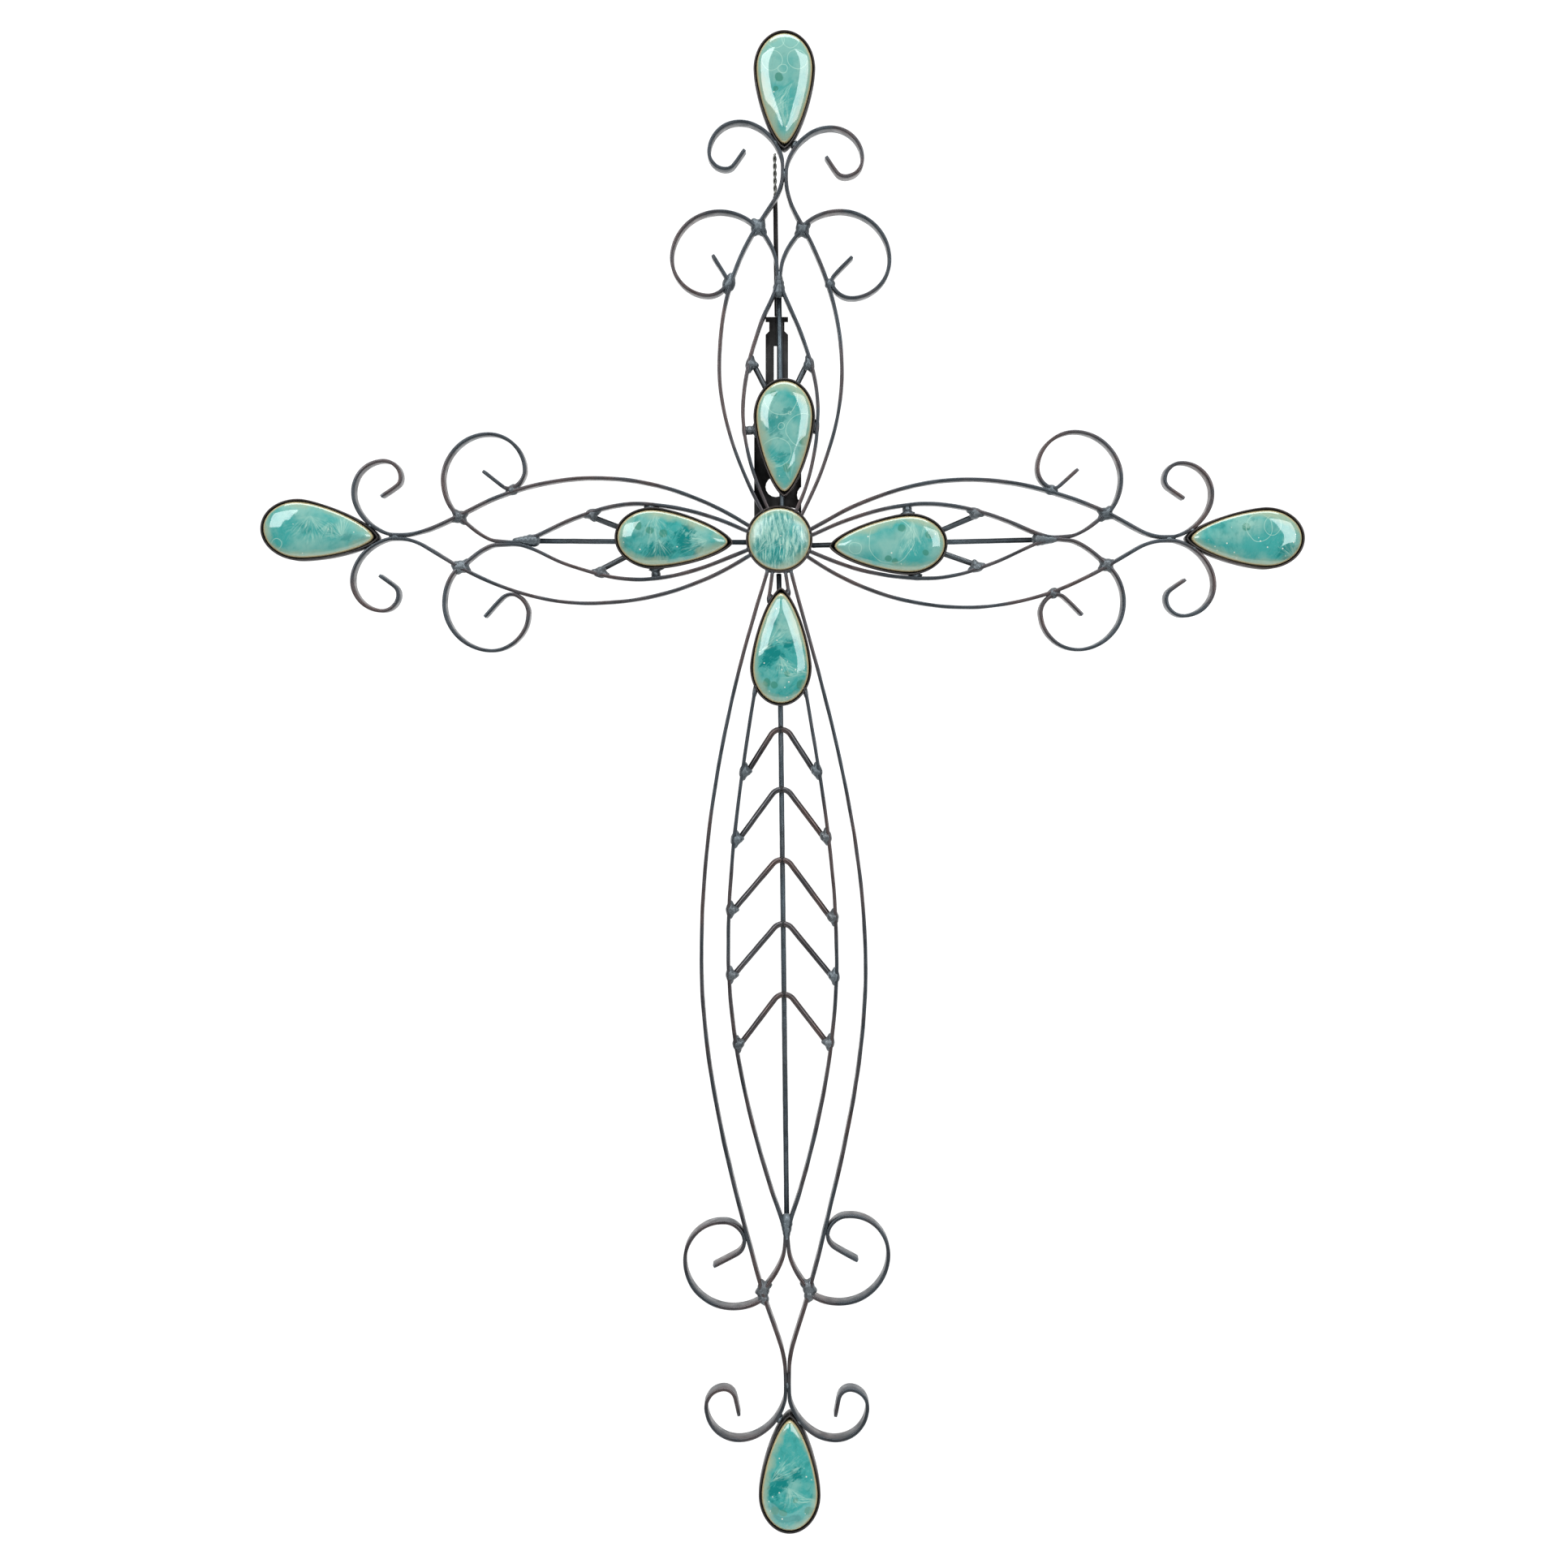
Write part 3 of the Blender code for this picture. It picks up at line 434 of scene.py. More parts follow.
def stone_piece(name, material, seed):
    """A glazed cabochon with full shoulders.

    Its first UV map runs to the right and up in centimetres from its widest place, and its
    second one holds the distance in from its edge in centimetres.
    """
    outline = Outline(name)
    points = coords(name)
    back, front = points[:, 1].max(), points[:, 1].min()
    edge = front + EDGE_RISE + SHOULDER_RISE
    ring_0 = outline.points(CUP_SIDES, STONE_SPREAD)
    if not outline.round:
        ring_0 = softened(ring_0, TIP_SOFTENING, TIP_EXTRA)
    middle = outline.centre if outline.round else ring_0.mean(axis=0)
    shares = np.cos(np.radians(np.linspace(0.0, DOME_LAST_ANGLE, DOME_RINGS)))**DOME_CROWDING
    grid = middle + (ring_0 - middle) * shares[:, None, None]
    inwards = depth_inside(grid.reshape(-1, 2), ring_0).reshape(grid.shape[:2])
    height = dome_height(inwards)
    for _ in range(DOME_SMOOTHING):
        sideways = (np.roll(height, 1, axis=1) + np.roll(height, -1, axis=1)) / 2
        height[2:-1] = (height[1:-2] + height[3:] + 2 * sideways[2:-1]) / 4
        height[-1] = (height[-2] + height[-1].mean()) / 2
    rings = [[(x, back, z) for x, z in ring_0]]
    for line, heights in zip(grid, height):
        ring = []
        for (x, z), high in zip(line, heights):
            sag = GLAZE_SAG * wobble((x, 0.0, z), GLAZE_SAG_SPAN, seed) * high / SHOULDER_RISE
            ring.append((x, edge - high + sag, z))
        rings.append(ring)
    bm = bmesh.new()
    loops = skin(bm, rings)
    place_uv = bm.loops.layers.uv.new("place")
    edge_uv = bm.loops.layers.uv.new("edge")
    far_in = {vert: 0.0 for vert in loops[0]}
    for loop, distances in zip(loops[1:], inwards / CM):
        far_in.update(zip(loop, distances))
    for face in bm.faces:
        for corner in face.loops:
            at = corner.vert.co
            corner[place_uv].uv = ((at.x - outline.centre[0]) / CM,
                                   (at.z - outline.centre[1]) / CM)
            corner[edge_uv].uv = (far_in[corner.vert], 0.0)
    add_object(f"{name}_glazed", bm, material, (name,), STONE_CREASE)


def hanger_plate(material):
    """The plate and its split sleeve with their sharp edges broken."""
    bm = bmesh.new()
    bm.from_mesh(NODES["hanger_plate"].data)
    make_whole(bm)
    rims = [e for e in bm.edges if len(e.link_faces) == 2
            and e.calc_face_angle(0.0) > math.radians(PLATE_EDGE_ANGLE)
            and abs(e.verts[0].co.y - e.verts[1].co.y) < IN_ONE_LAYER]
    bmesh.ops.bevel(bm, geom=rims, offset=PLATE_EDGE, segments=2, affect="EDGES", profile=0.5,
                    clamp_overlap=True)
    add_object("hanger_plate_edged", bm, material, ("hanger_plate",))


def twisted_wire(material):
    """Two strands wound round each other."""
    (start, _), (end, _), _ = caps("hanger_wire")
    if start[2] > end[2]:
        start, end = end, start
    length = float(np.linalg.norm(end - start))
    along = (end - start) / length
    count = round(length / (STRAND_PITCH / STEPS_A_TURN))
    bm = bmesh.new()
    for phase in (0.0, math.pi):
        line = []
        for k in range(count + 1):
            s = k / count
            angle = 2 * math.pi * length * s / STRAND_PITCH + phase
            line.append(start + along * length * s
                        + np.array((math.cos(angle), math.sin(angle), 0.0)) * STRAND_ORBIT)
        skin(bm, tube_rings(line, STRAND, 3, STRAND_SIDES, STRAND_ROUGH))
    add_object("hanger_wire_twisted", bm, material, ("hanger_wire",))


# Weld beads: places behind the bars' front, half sizes and half lengths, in mm

LUMP_DEEP, LUMP_ROUGH, SMOOTH_ROUGH = 5.2, 0.14, 0.10
BUMPS, FINE_BUMPS, DIMPLE_BUMPS = 1.3, 3.4, 2.0    # bumps of the noise over a lump's radius
BUMPS_SHIFT, FINE_BUMPS_SHIFT = 4.1, 2.7
WEB_ROUGH, WEB_FILL_ROUGH = 0.05, 0.04
WEB_AT, WEB_DEEP = 5.0, 5.6
WEB_FILL_AT, WEB_FILL_DEEP = 4.2, 4.8
WEB_FILL_WIDER, WEB_FILL_SHORTER = 1.5, 0.8
COLUMN_FOOT, COLUMN_WAIST, COLUMN_HEAD = (1.3, 5.2), (0.3, 2.9), (1.2, 4.8)
PATCH_DEEP, PATCH_DEEPER, PATCH_SHORTER = 8.0, 0.6, 0.8
PATCH_END_NARROWER, PATCH_END_SHORTER = 0.62, 0.5
PATCH_END_AT, PATCH_END_BACK = 0.5, 0.4 * MM
BULGE, DIMPLES = 0.45 * MM, 0.3 * MM        # how far a weld stands out of the bars' front
MELT_STEP, MELT_SMOOTHING = 0.42 * MM, 5


class Welds:
    """Lumps of weld metal, gathered into one piece for each arm and melted together."""

    def __init__(self, name):
        self.name, self.bm, self.count = name, bmesh.new(), 0

    def lump(self, at, size, turn=0.0, rough=LUMP_ROUGH):
        """An uneven ball at (x, y, z), with half sizes across, deep and along, in mm."""
        self.count += 1
        made = bmesh.ops.create_icosphere(self.bm, subdivisions=3, radius=1.0)["verts"]
        cosine, sine = math.cos(turn), math.sin(turn)
        seed = self.count + len(self.name)
        for vert in made:
            out = vert.co.copy()
            broad = noise.noise(out * BUMPS + Vector((seed * BUMPS_SHIFT, 0, seed)))
            fine = noise.noise(out * FINE_BUMPS + Vector((0, seed * FINE_BUMPS_SHIFT, seed)))
            bump = 1 + rough * broad + rough * 0.5 * fine
            x, y, z = (v * half * MM for v, half in zip(out * bump, size))
            y = max(at[1] + y, FRONT - BULGE + DIMPLES * noise.noise(out * DIMPLE_BUMPS))
            vert.co = Vector((at[0] + x * cosine + z * sine, y, at[2] - x * sine + z * cosine))

    def web(self, place, lines, half_width, reach):
        """Weld metal run into the corners where the bars of several directions meet."""
        for along in lines:
            self.lump((place[0], FRONT + WEB_AT * MM, place[1]), (half_width, WEB_DEEP, reach),
                      math.atan2(*along), WEB_ROUGH)
        self.lump((place[0], FRONT + WEB_FILL_AT * MM, place[1]),
                  (half_width * WEB_FILL_WIDER, WEB_FILL_DEEP, reach * WEB_FILL_SHORTER),
                  math.atan2(*lines[0]), WEB_FILL_ROUGH)

    def column(self, one, other, along, size=1.0):
        """A waisted weld that bridges the gap between two points, longest along the line."""
        turn = math.atan2(*along)
        gap = float(np.linalg.norm(other - one)) / MM
        waist = (gap / 2 + COLUMN_WAIST[0], COLUMN_WAIST[1])
        for share, (half_gap, half_long) in zip((0.0, 0.5, 1.0), (COLUMN_FOOT, waist, COLUMN_HEAD)):
            x, z = one + (other - one) * share
            self.lump((x, FRONT + LUMP_DEEP * MM, z), (half_gap, LUMP_DEEP, half_long * size),
                      turn, SMOOTH_ROUGH)

    def patch(self, place, along, across_half, along_half, deep=PATCH_DEEP):
        """A weld at (x, z) from the front inwards, longest in the direction along."""
        turn = math.atan2(*along)
        direction = unit(np.array(along))
        middle = FRONT + deep / 2 * MM
        self.lump((place[0], middle, place[1]),
                  (across_half, deep / 2 + PATCH_DEEPER, along_half * PATCH_SHORTER), turn)
        for sign in (-1, 1):
            x, z = np.array(place) + direction * sign * along_half * PATCH_END_AT * MM
            half = (across_half * PATCH_END_NARROWER, deep / 2, along_half * PATCH_END_SHORTER)
            self.lump((x, middle + PATCH_END_BACK, z), half, turn)

    def finish(self, material):
        """Melts all lumps into one skin."""
        piece = add_object(self.name, self.bm, material)
        melt = piece.modifiers.new("melt", "REMESH")
        melt.mode, melt.voxel_size = "VOXEL", MELT_STEP
        soften = piece.modifiers.new("soften", "SMOOTH")
        soften.factor, soften.iterations = 0.5, MELT_SMOOTHING
        bpy.context.view_layer.update()
        graph = bpy.context.evaluated_depsgraph_get()
        melted = bpy.data.meshes.new_from_object(piece.evaluated_get(graph))
        melted.shade_smooth()
        piece.modifiers.clear()
        piece.data = melted


def heading(path, point):
    """Direction of a line at its point nearest to point."""
    return directions(path)[int(np.argmin(np.linalg.norm(path - point, axis=1)))]


def ends_towards(path, other):
    """A line's two ends, the one nearer to other first."""
    return sorted((path[0], path[-1]), key=lambda p: np.linalg.norm(other - p, axis=1).min())


def closest(path_a, path_b):
    """The nearest points of two lines of (x, z)."""
    gaps = np.linalg.norm(path_a[:, None] - path_b[None], axis=2)
    i, j = np.unravel_index(int(np.argmin(gaps)), gaps.shape)
    return path_a[i], path_b[j]


# Materials

class Shader:
    """The nodes of a material or world, built up by small helpers."""

    def __init__(self, owner, surface="Principled BSDF"):
        self.owner = owner
        owner.use_nodes = True
        self.tree = owner.node_tree
        self.surface = self.tree.nodes[surface]

    def node(self, kind, settings=None, **inputs):
        made = self.tree.nodes.new(kind)
        for key, value in (settings or {}).items():
            setattr(made, key, value)
        for key, value in inputs.items():
            self.put(made, key.replace("_", " "), value)
        return made

    def put(self, node, socket, value):
        target = node.inputs[socket]
        if isinstance(value, bpy.types.NodeSocket):
            self.tree.links.new(value, target)
        else:
            target.default_value = value

    def noise(self, vector, scale, detail, roughness=0.55, distortion=0.0):
        made = self.node("ShaderNodeTexNoise", Vector=vector, Scale=scale, Detail=detail,
                         Roughness=roughness, Distortion=distortion)
        return made.outputs["Fac"]

    def steps(self, value, low, high, out_low=0.0, out_high=1.0):
        """Value mapped from low-high to out_low-out_high, held at both ends."""
        made = self.node("ShaderNodeMapRange", Value=value, From_Min=low, From_Max=high,
                         To_Min=out_low, To_Max=out_high)
        return made.outputs["Result"]

    def mix(self, share, a, b):
        made = self.node("ShaderNodeMix", {"data_type": "RGBA"})
        self.put(made, 0, share)
        self.put(made, 6, a if isinstance(a, bpy.types.NodeSocket) else (*a, 1.0))
        self.put(made, 7, b if isinstance(b, bpy.types.NodeSocket) else (*b, 1.0))
        return made.outputs[2]

    def math(self, operation, a, b=0.0):
        made = self.node("ShaderNodeMath", {"operation": operation})
        self.put(made, 0, a)
        self.put(made, 1, b)
        return made.outputs[0]

    def bump(self, height, distance, strength, under=None):
        made = self.node("ShaderNodeBump", Height=height, Distance=distance, Strength=strength)
        if under is not None:
            self.put(made, "Normal", under)
        return made.outputs["Normal"]

    def distance(self, vector, x, y):
        """Distance in the plane from (x, y)."""
        made = self.node("ShaderNodeVectorMath", {"operation": "DISTANCE"})
        self.put(made, 0, self.moved(vector, scale=(1, 1, 0)))
        made.inputs[1].default_value = (x, y, 0.0)
        return made.outputs["Value"]

    def shifted(self, vector, source, scale, detail, roughness, reach):
        """Vector moved about by a colour noise that is read at source.

        Reach is how far it moves where the noise is at its strongest.
        """
        cloud = self.node("ShaderNodeTexNoise", Vector=source, Scale=scale, Detail=detail,
                          Roughness=roughness)
        offset = self.node("ShaderNodeVectorMath", {"operation": "SUBTRACT"})
        self.put(offset, 0, cloud.outputs["Color"])
        offset.inputs[1].default_value = (0.5, 0.5, 0.5)
        made = self.node("ShaderNodeVectorMath", {"operation": "MULTIPLY_ADD"})
        self.put(made, 0, offset.outputs["Vector"])
        made.inputs[1].default_value = (reach * 2, reach * 2, reach * 2)
        self.put(made, 2, vector)
        return made.outputs["Vector"]

    def moved(self, vector, location=(0, 0, 0), scale=(1, 1, 1)):
        made = self.node("ShaderNodeMapping", Vector=vector, Location=location, Scale=scale)
        return made.outputs["Vector"]


# Noise in the steel: scale, detail, roughness and distortion
BROAD, FINE, HAMMER = (22.0, 3.0), (170.0, 3.0, 0.5), (60.0, 2.0)
TINTED, TINTED_SHIFT = (17.0, 5.0, 0.6, 0.4), (3.1, 1.7, 0.4)
HAMMER_BUMP, FINE_BUMP = (0.0008, 0.4), (0.0002, 0.2)
SMOOTHER, ROUGHER = 0.1, 0.14
# Painted highlight on convex edges: how much lighter they are painted, and how strongly
EDGE_HIGHLIGHT_LIGHTER, EDGE_HIGHLIGHT_SHARE = 2.1, 0.6
# Painted shade on welds: its near-black colour, its strength, and where it begins and is full behind
# shaded_below
PAINTED_SHADE, PAINTED_SHADE_SHARE, PAINTED_SHADE_FROM, PAINTED_SHADE_FULL = (0.006, 0.005, 0.005), 0.9, -0.5 * MM, 2.0 * MM


def forged_steel(name, base, dark, tint, metallic, rough, tint_share, shaded_below=None):
    """Raw forged steel: a cool or dark base with darker clouds and specks, brown heat tint, and
    its convex edges painted lighter as a highlight.

    shaded_below is the y behind which a weld's deeper part is painted towards black as shade.
    """
    s = Shader(bpy.data.materials.new(name))
    place = s.node("ShaderNodeTexCoord").outputs["Object"]
    broad = s.noise(place, *BROAD)
    fine = s.noise(place, *FINE)
    tinted = s.noise(s.moved(place, TINTED_SHIFT), *TINTED)
    colour = s.mix(s.steps(broad, 0.35, 0.65), base, dark)
    colour = s.mix(s.math("MULTIPLY", s.steps(tinted, 0.46, 0.60), tint_share), colour, tint)
    colour = s.mix(s.steps(fine, 0.52, 0.72, 0.0, 0.2), colour, dark)
    # painted highlight: the sharpest convex edges are lightened to stand in for light caught on them
    edge_highlight = s.node("ShaderNodeNewGeometry").outputs["Pointiness"]
    light = tuple(min(1.0, c * EDGE_HIGHLIGHT_LIGHTER) for c in base)
    colour = s.mix(s.steps(edge_highlight, 0.52, 0.60, 0.0, EDGE_HIGHLIGHT_SHARE), colour, light)
    # painted shade: behind shaded_below the weld's colour darkens towards near-black, where it lies
    # deep between the bars
    if shaded_below is not None:
        depth = s.node("ShaderNodeSeparateXYZ", Vector=place).outputs["Y"]
        painted_shade = s.steps(depth, shaded_below + PAINTED_SHADE_FROM, shaded_below + PAINTED_SHADE_FULL, 0.0, PAINTED_SHADE_SHARE)
        colour = s.mix(painted_shade, colour, PAINTED_SHADE)
    s.put(s.surface, "Base Color", colour)
    s.put(s.surface, "Metallic", metallic)
    s.put(s.surface, "Roughness", s.steps(fine, 0.3, 0.7, rough - SMOOTHER, rough + ROUGHER))
    hammered = s.bump(s.noise(place, *HAMMER), *HAMMER_BUMP)
    s.put(s.surface, "Normal", s.bump(fine, *FINE_BUMP, hammered))
    return s.owner


# What each stone's glaze shows, in centimetres right and up from the stone's widest place.
# pale: share of the pale turquoise, from 0 to 1. deep: share of the dark teal, likewise.
# patches: (x, y, radius), olive when small, dark teal when middling, plain teal when large.
# fans: (x, y, radius, start, end) of feathery crystals, with the degrees between which they
# spread. rings: (x, y, radius) of thin pale outlines. dots: how dense the white specks are.
# fibres: how strong the upright fibres are.
Glaze = namedtuple("Glaze", "pale deep patches fans rings dots fibres", defaults=(0.0,))
GLAZES = {
    "stone_top_tip": Glaze(
        0.7, 0.25, ((0.45, -2.3, 1.3), (-0.2, -1.6, 0.95), (-0.33, -0.6, 0.24), (-0.5, -1.25, 0.16)),
        ((-1.1, -2.9, 1.9, 10, 80), (0.5, -0.9, 1.9, 215, 262), (0.1, -3.7, 1.5, 55, 125)),
        ((-0.1, -0.1, 0.27), (-0.75, 0.45, 0.62), (0.75, 0.5, 0.6), (-0.55, 1.7, 0.5),
         (0.35, 1.75, 0.55)), 0.1),
    "stone_top_inner": Glaze(
        0.45, 0.4, ((-0.6, -0.5, 0.62), (0.2, 0.25, 0.34), (-0.65, 1.4, 0.2), (1.15, -1.5, 0.27),
                    (-0.15, -2.45, 0.35), (0.2, -3.15, 0.27)),
        ((-1.4, -2.9, 1.3, -30, 55), (0.3, -3.9, 1.2, 60, 120)),
        ((-0.2, 1.1, 1.03), (1.15, -0.85, 1.0), (-0.15, -0.6, 0.2), (-0.5, -2.2, 0.9),
         (-0.5, -0.05, 0.05), (0.3, 0.2, 0.09)), 0.3),
    "stone_hub": Glaze(
        0.75, 0.4, ((-0.95, -0.55, 0.42), (0.95, -0.7, 0.36), (0.1, -0.3, 0.34)),
        ((-1.4, -1.0, 1.7, 20, 85), (0.5, -1.5, 2.4, 70, 110)), (), 0.6, 0.8),
    "stone_left_tip": Glaze(
        0.5, 0.3, ((0.5, 0.1, 0.4), (2.05, 0.0, 0.36), (2.9, -0.5, 0.3)),
        ((0.8, 0.85, 1.6, 190, 345), (2.8, -0.3, 1.2, 50, 215), (1.9, 0.4, 0.9, 200, 330)),
        ((-1.3, -0.9, 0.32),), 0.1),
    "stone_left_inner": Glaze(
        0.3, 0.75, ((0.0, -0.85, 0.55), (0.7, -0.8, 0.6), (1.85, -0.3, 0.6), (2.2, 0.5, 0.45),
                    (2.7, -0.8, 0.36), (-0.87, 0.76, 0.26), (-0.16, 0.44, 0.24), (0.65, 0.25, 0.26)),
        ((0.2, 1.6, 1.9, 232, 308), (0.35, -0.1, 1.4, 225, 320), (3.3, -0.2, 1.4, 140, 250)),
        (), 0.35),
    "stone_right_inner": Glaze(
        0.6, 0.2, ((0.3, -0.6, 1.0), (-0.44, 0.98, 0.23), (1.25, 0.55, 0.28), (-1.3, -0.85, 0.2),
                   (-0.93, -1.04, 0.19), (1.04, -0.57, 0.18)),
        ((0.1, 1.5, 2.0, 235, 305), (0.95, 1.4, 1.1, 245, 300), (0.1, 0.3, 1.1, 215, 300)),
        ((-3.3, -0.27, 0.38), (-1.1, 0.2, 1.37)), 0.25),
    "stone_right_tip": Glaze(
        0.45, 0.6, ((-0.8, -0.3, 0.95), (1.1, -0.8, 0.62), (1.9, -0.65, 0.4), (-1.3, 0.6, 0.25)),
        ((1.7, -1.2, 1.1, 70, 170), (-1.2, 0.5, 0.7, 0, 180)),
        ((-0.5, 0.6, 0.8), (0.35, 0.75, 0.55)), 1.0),
    "stone_lower_inner": Glaze(
        0.15, 0.75, ((-0.5, 0.95, 0.6), (-0.9, 0.35, 0.45), (0.5, 1.5, 0.36), (1.25, -1.0, 0.27),
                     (-0.87, -0.95, 0.26), (-0.4, -1.1, 0.22), (0.4, -0.35, 0.17)),
        ((-1.2, 1.0, 2.1, 12, 62), (1.75, -0.35, 2.0, 152, 196), (-0.1, 0.7, 1.3, 250, 335)),
        (), 0.5),
    "stone_lower_tip": Glaze(
        0.15, 0.75, ((-0.55, 0.9, 0.6), (-0.9, 0.3, 0.45), (0.45, 1.45, 0.36), (1.2, -0.9, 0.27),
                     (-0.87, -0.85, 0.26), (-0.4, -1.0, 0.22), (0.4, -0.25, 0.17)),
        ((-1.2, 0.9, 2.1, 12, 62), (1.7, -0.3, 2.0, 152, 196), (-0.1, 0.6, 1.3, 250, 335)),
        (), 0.5),
}
GLAZE_BASE, GLAZE_PALE = (0.038, 0.290, 0.272), (0.175, 0.390, 0.345)
GLAZE_DEEP, GLAZE_OLIVE = (0.0, 0.170, 0.162), (0.030, 0.190, 0.135)
GLAZE_CRYSTAL, GLAZE_CREAM = (0.380, 0.590, 0.500), (0.520, 0.440, 0.250)
GLAZE_FADE = (0.285, 0.375, 0.270)
GLAZE_SPECK = (0.620, 0.660, 0.580)
GLAZE_SURFACE = {"Roughness": 0.3, "Specular IOR Level": 0.0, "Coat Weight": 1.0,
                 "Coat IOR": 1.7, "Coat Roughness": 0.05}

# Kinds of patch, by radius in centimetres. DEEP_PATCH's strength is times the stone's deep.
Patch = namedtuple("Patch", "feathered strength edge tone")
OLIVE_PATCH = Patch(0.05, 0.75, 0.88, GLAZE_OLIVE)
DEEP_PATCH = Patch(0.5, 1.4, 0.6, GLAZE_DEEP)
PLAIN_PATCH = Patch(0.25, 0.8, 0.5, GLAZE_BASE)
OLIVE_BELOW, PLAIN_ABOVE, PATCH_OUTER = 0.29, 0.85, 1.1
NEEDLES_FROM = 1.3
SWEEP_FROM, SWEEP_SEED = (-1.6, -3.4), 40

# Noise for moving a place about: scale, detail, roughness and reach
BENT, TORN, GENTLE = (1.6, 4.0, 0.6, 0.55), (7.0, 4.0, 0.65, 0.22), (0.9, 1.0, 0.5, 0.16)

# Noise in the glaze: scale, detail, roughness and distortion
CLOUDS, HAZE = (0.55, 3.0, 0.5), (5.0, 6.0, 0.7)
POOLS, POOLS_SHIFT = (0.55, 4.0, 0.6, 0.5), (4.2, 9.1, 0.0)
FIBRES, FIBRE_STRETCH = (1.7, 6.0, 0.62, 0.2), (3.6, 0.7, 1.0)
NEEDLES, TURNS, NEEDLE_LENGTHS = (1.6, 5.0, 0.65, 0.35), 7.0, 0.9
DRIFT, DRIFT_SHIFT = (0.45, 2.0), (2.6, 5.2, 0.0)
SPECK_CLOUDS, FADE_EDGE, CREAM_EDGE, WAVES = (1.7, 1.0), (2.2, 4.0, 0.65), (4.0, 3.0), (0.9, 1.0)

# Amounts in the glaze
PALE_RARE, PALE_MORE, PALE_SOFT = 0.66, 0.30, 0.11
RING_LINE, RING_SHARE = (0.010, 0.030), 0.6
SPECKS, SPECK_EDGE, SPECKS_RARE, SPECKS_MORE = 2.4, (0.08, 0.13), (0.62, 0.66), 0.22
FAN_FROM, FAN_RAGGED, FAN_SHARE = 0.2, 0.35, 0.8
WAVES_BUMP, FIBRE_BUMP = (0.0006, 0.25), (0.0008, 0.35)


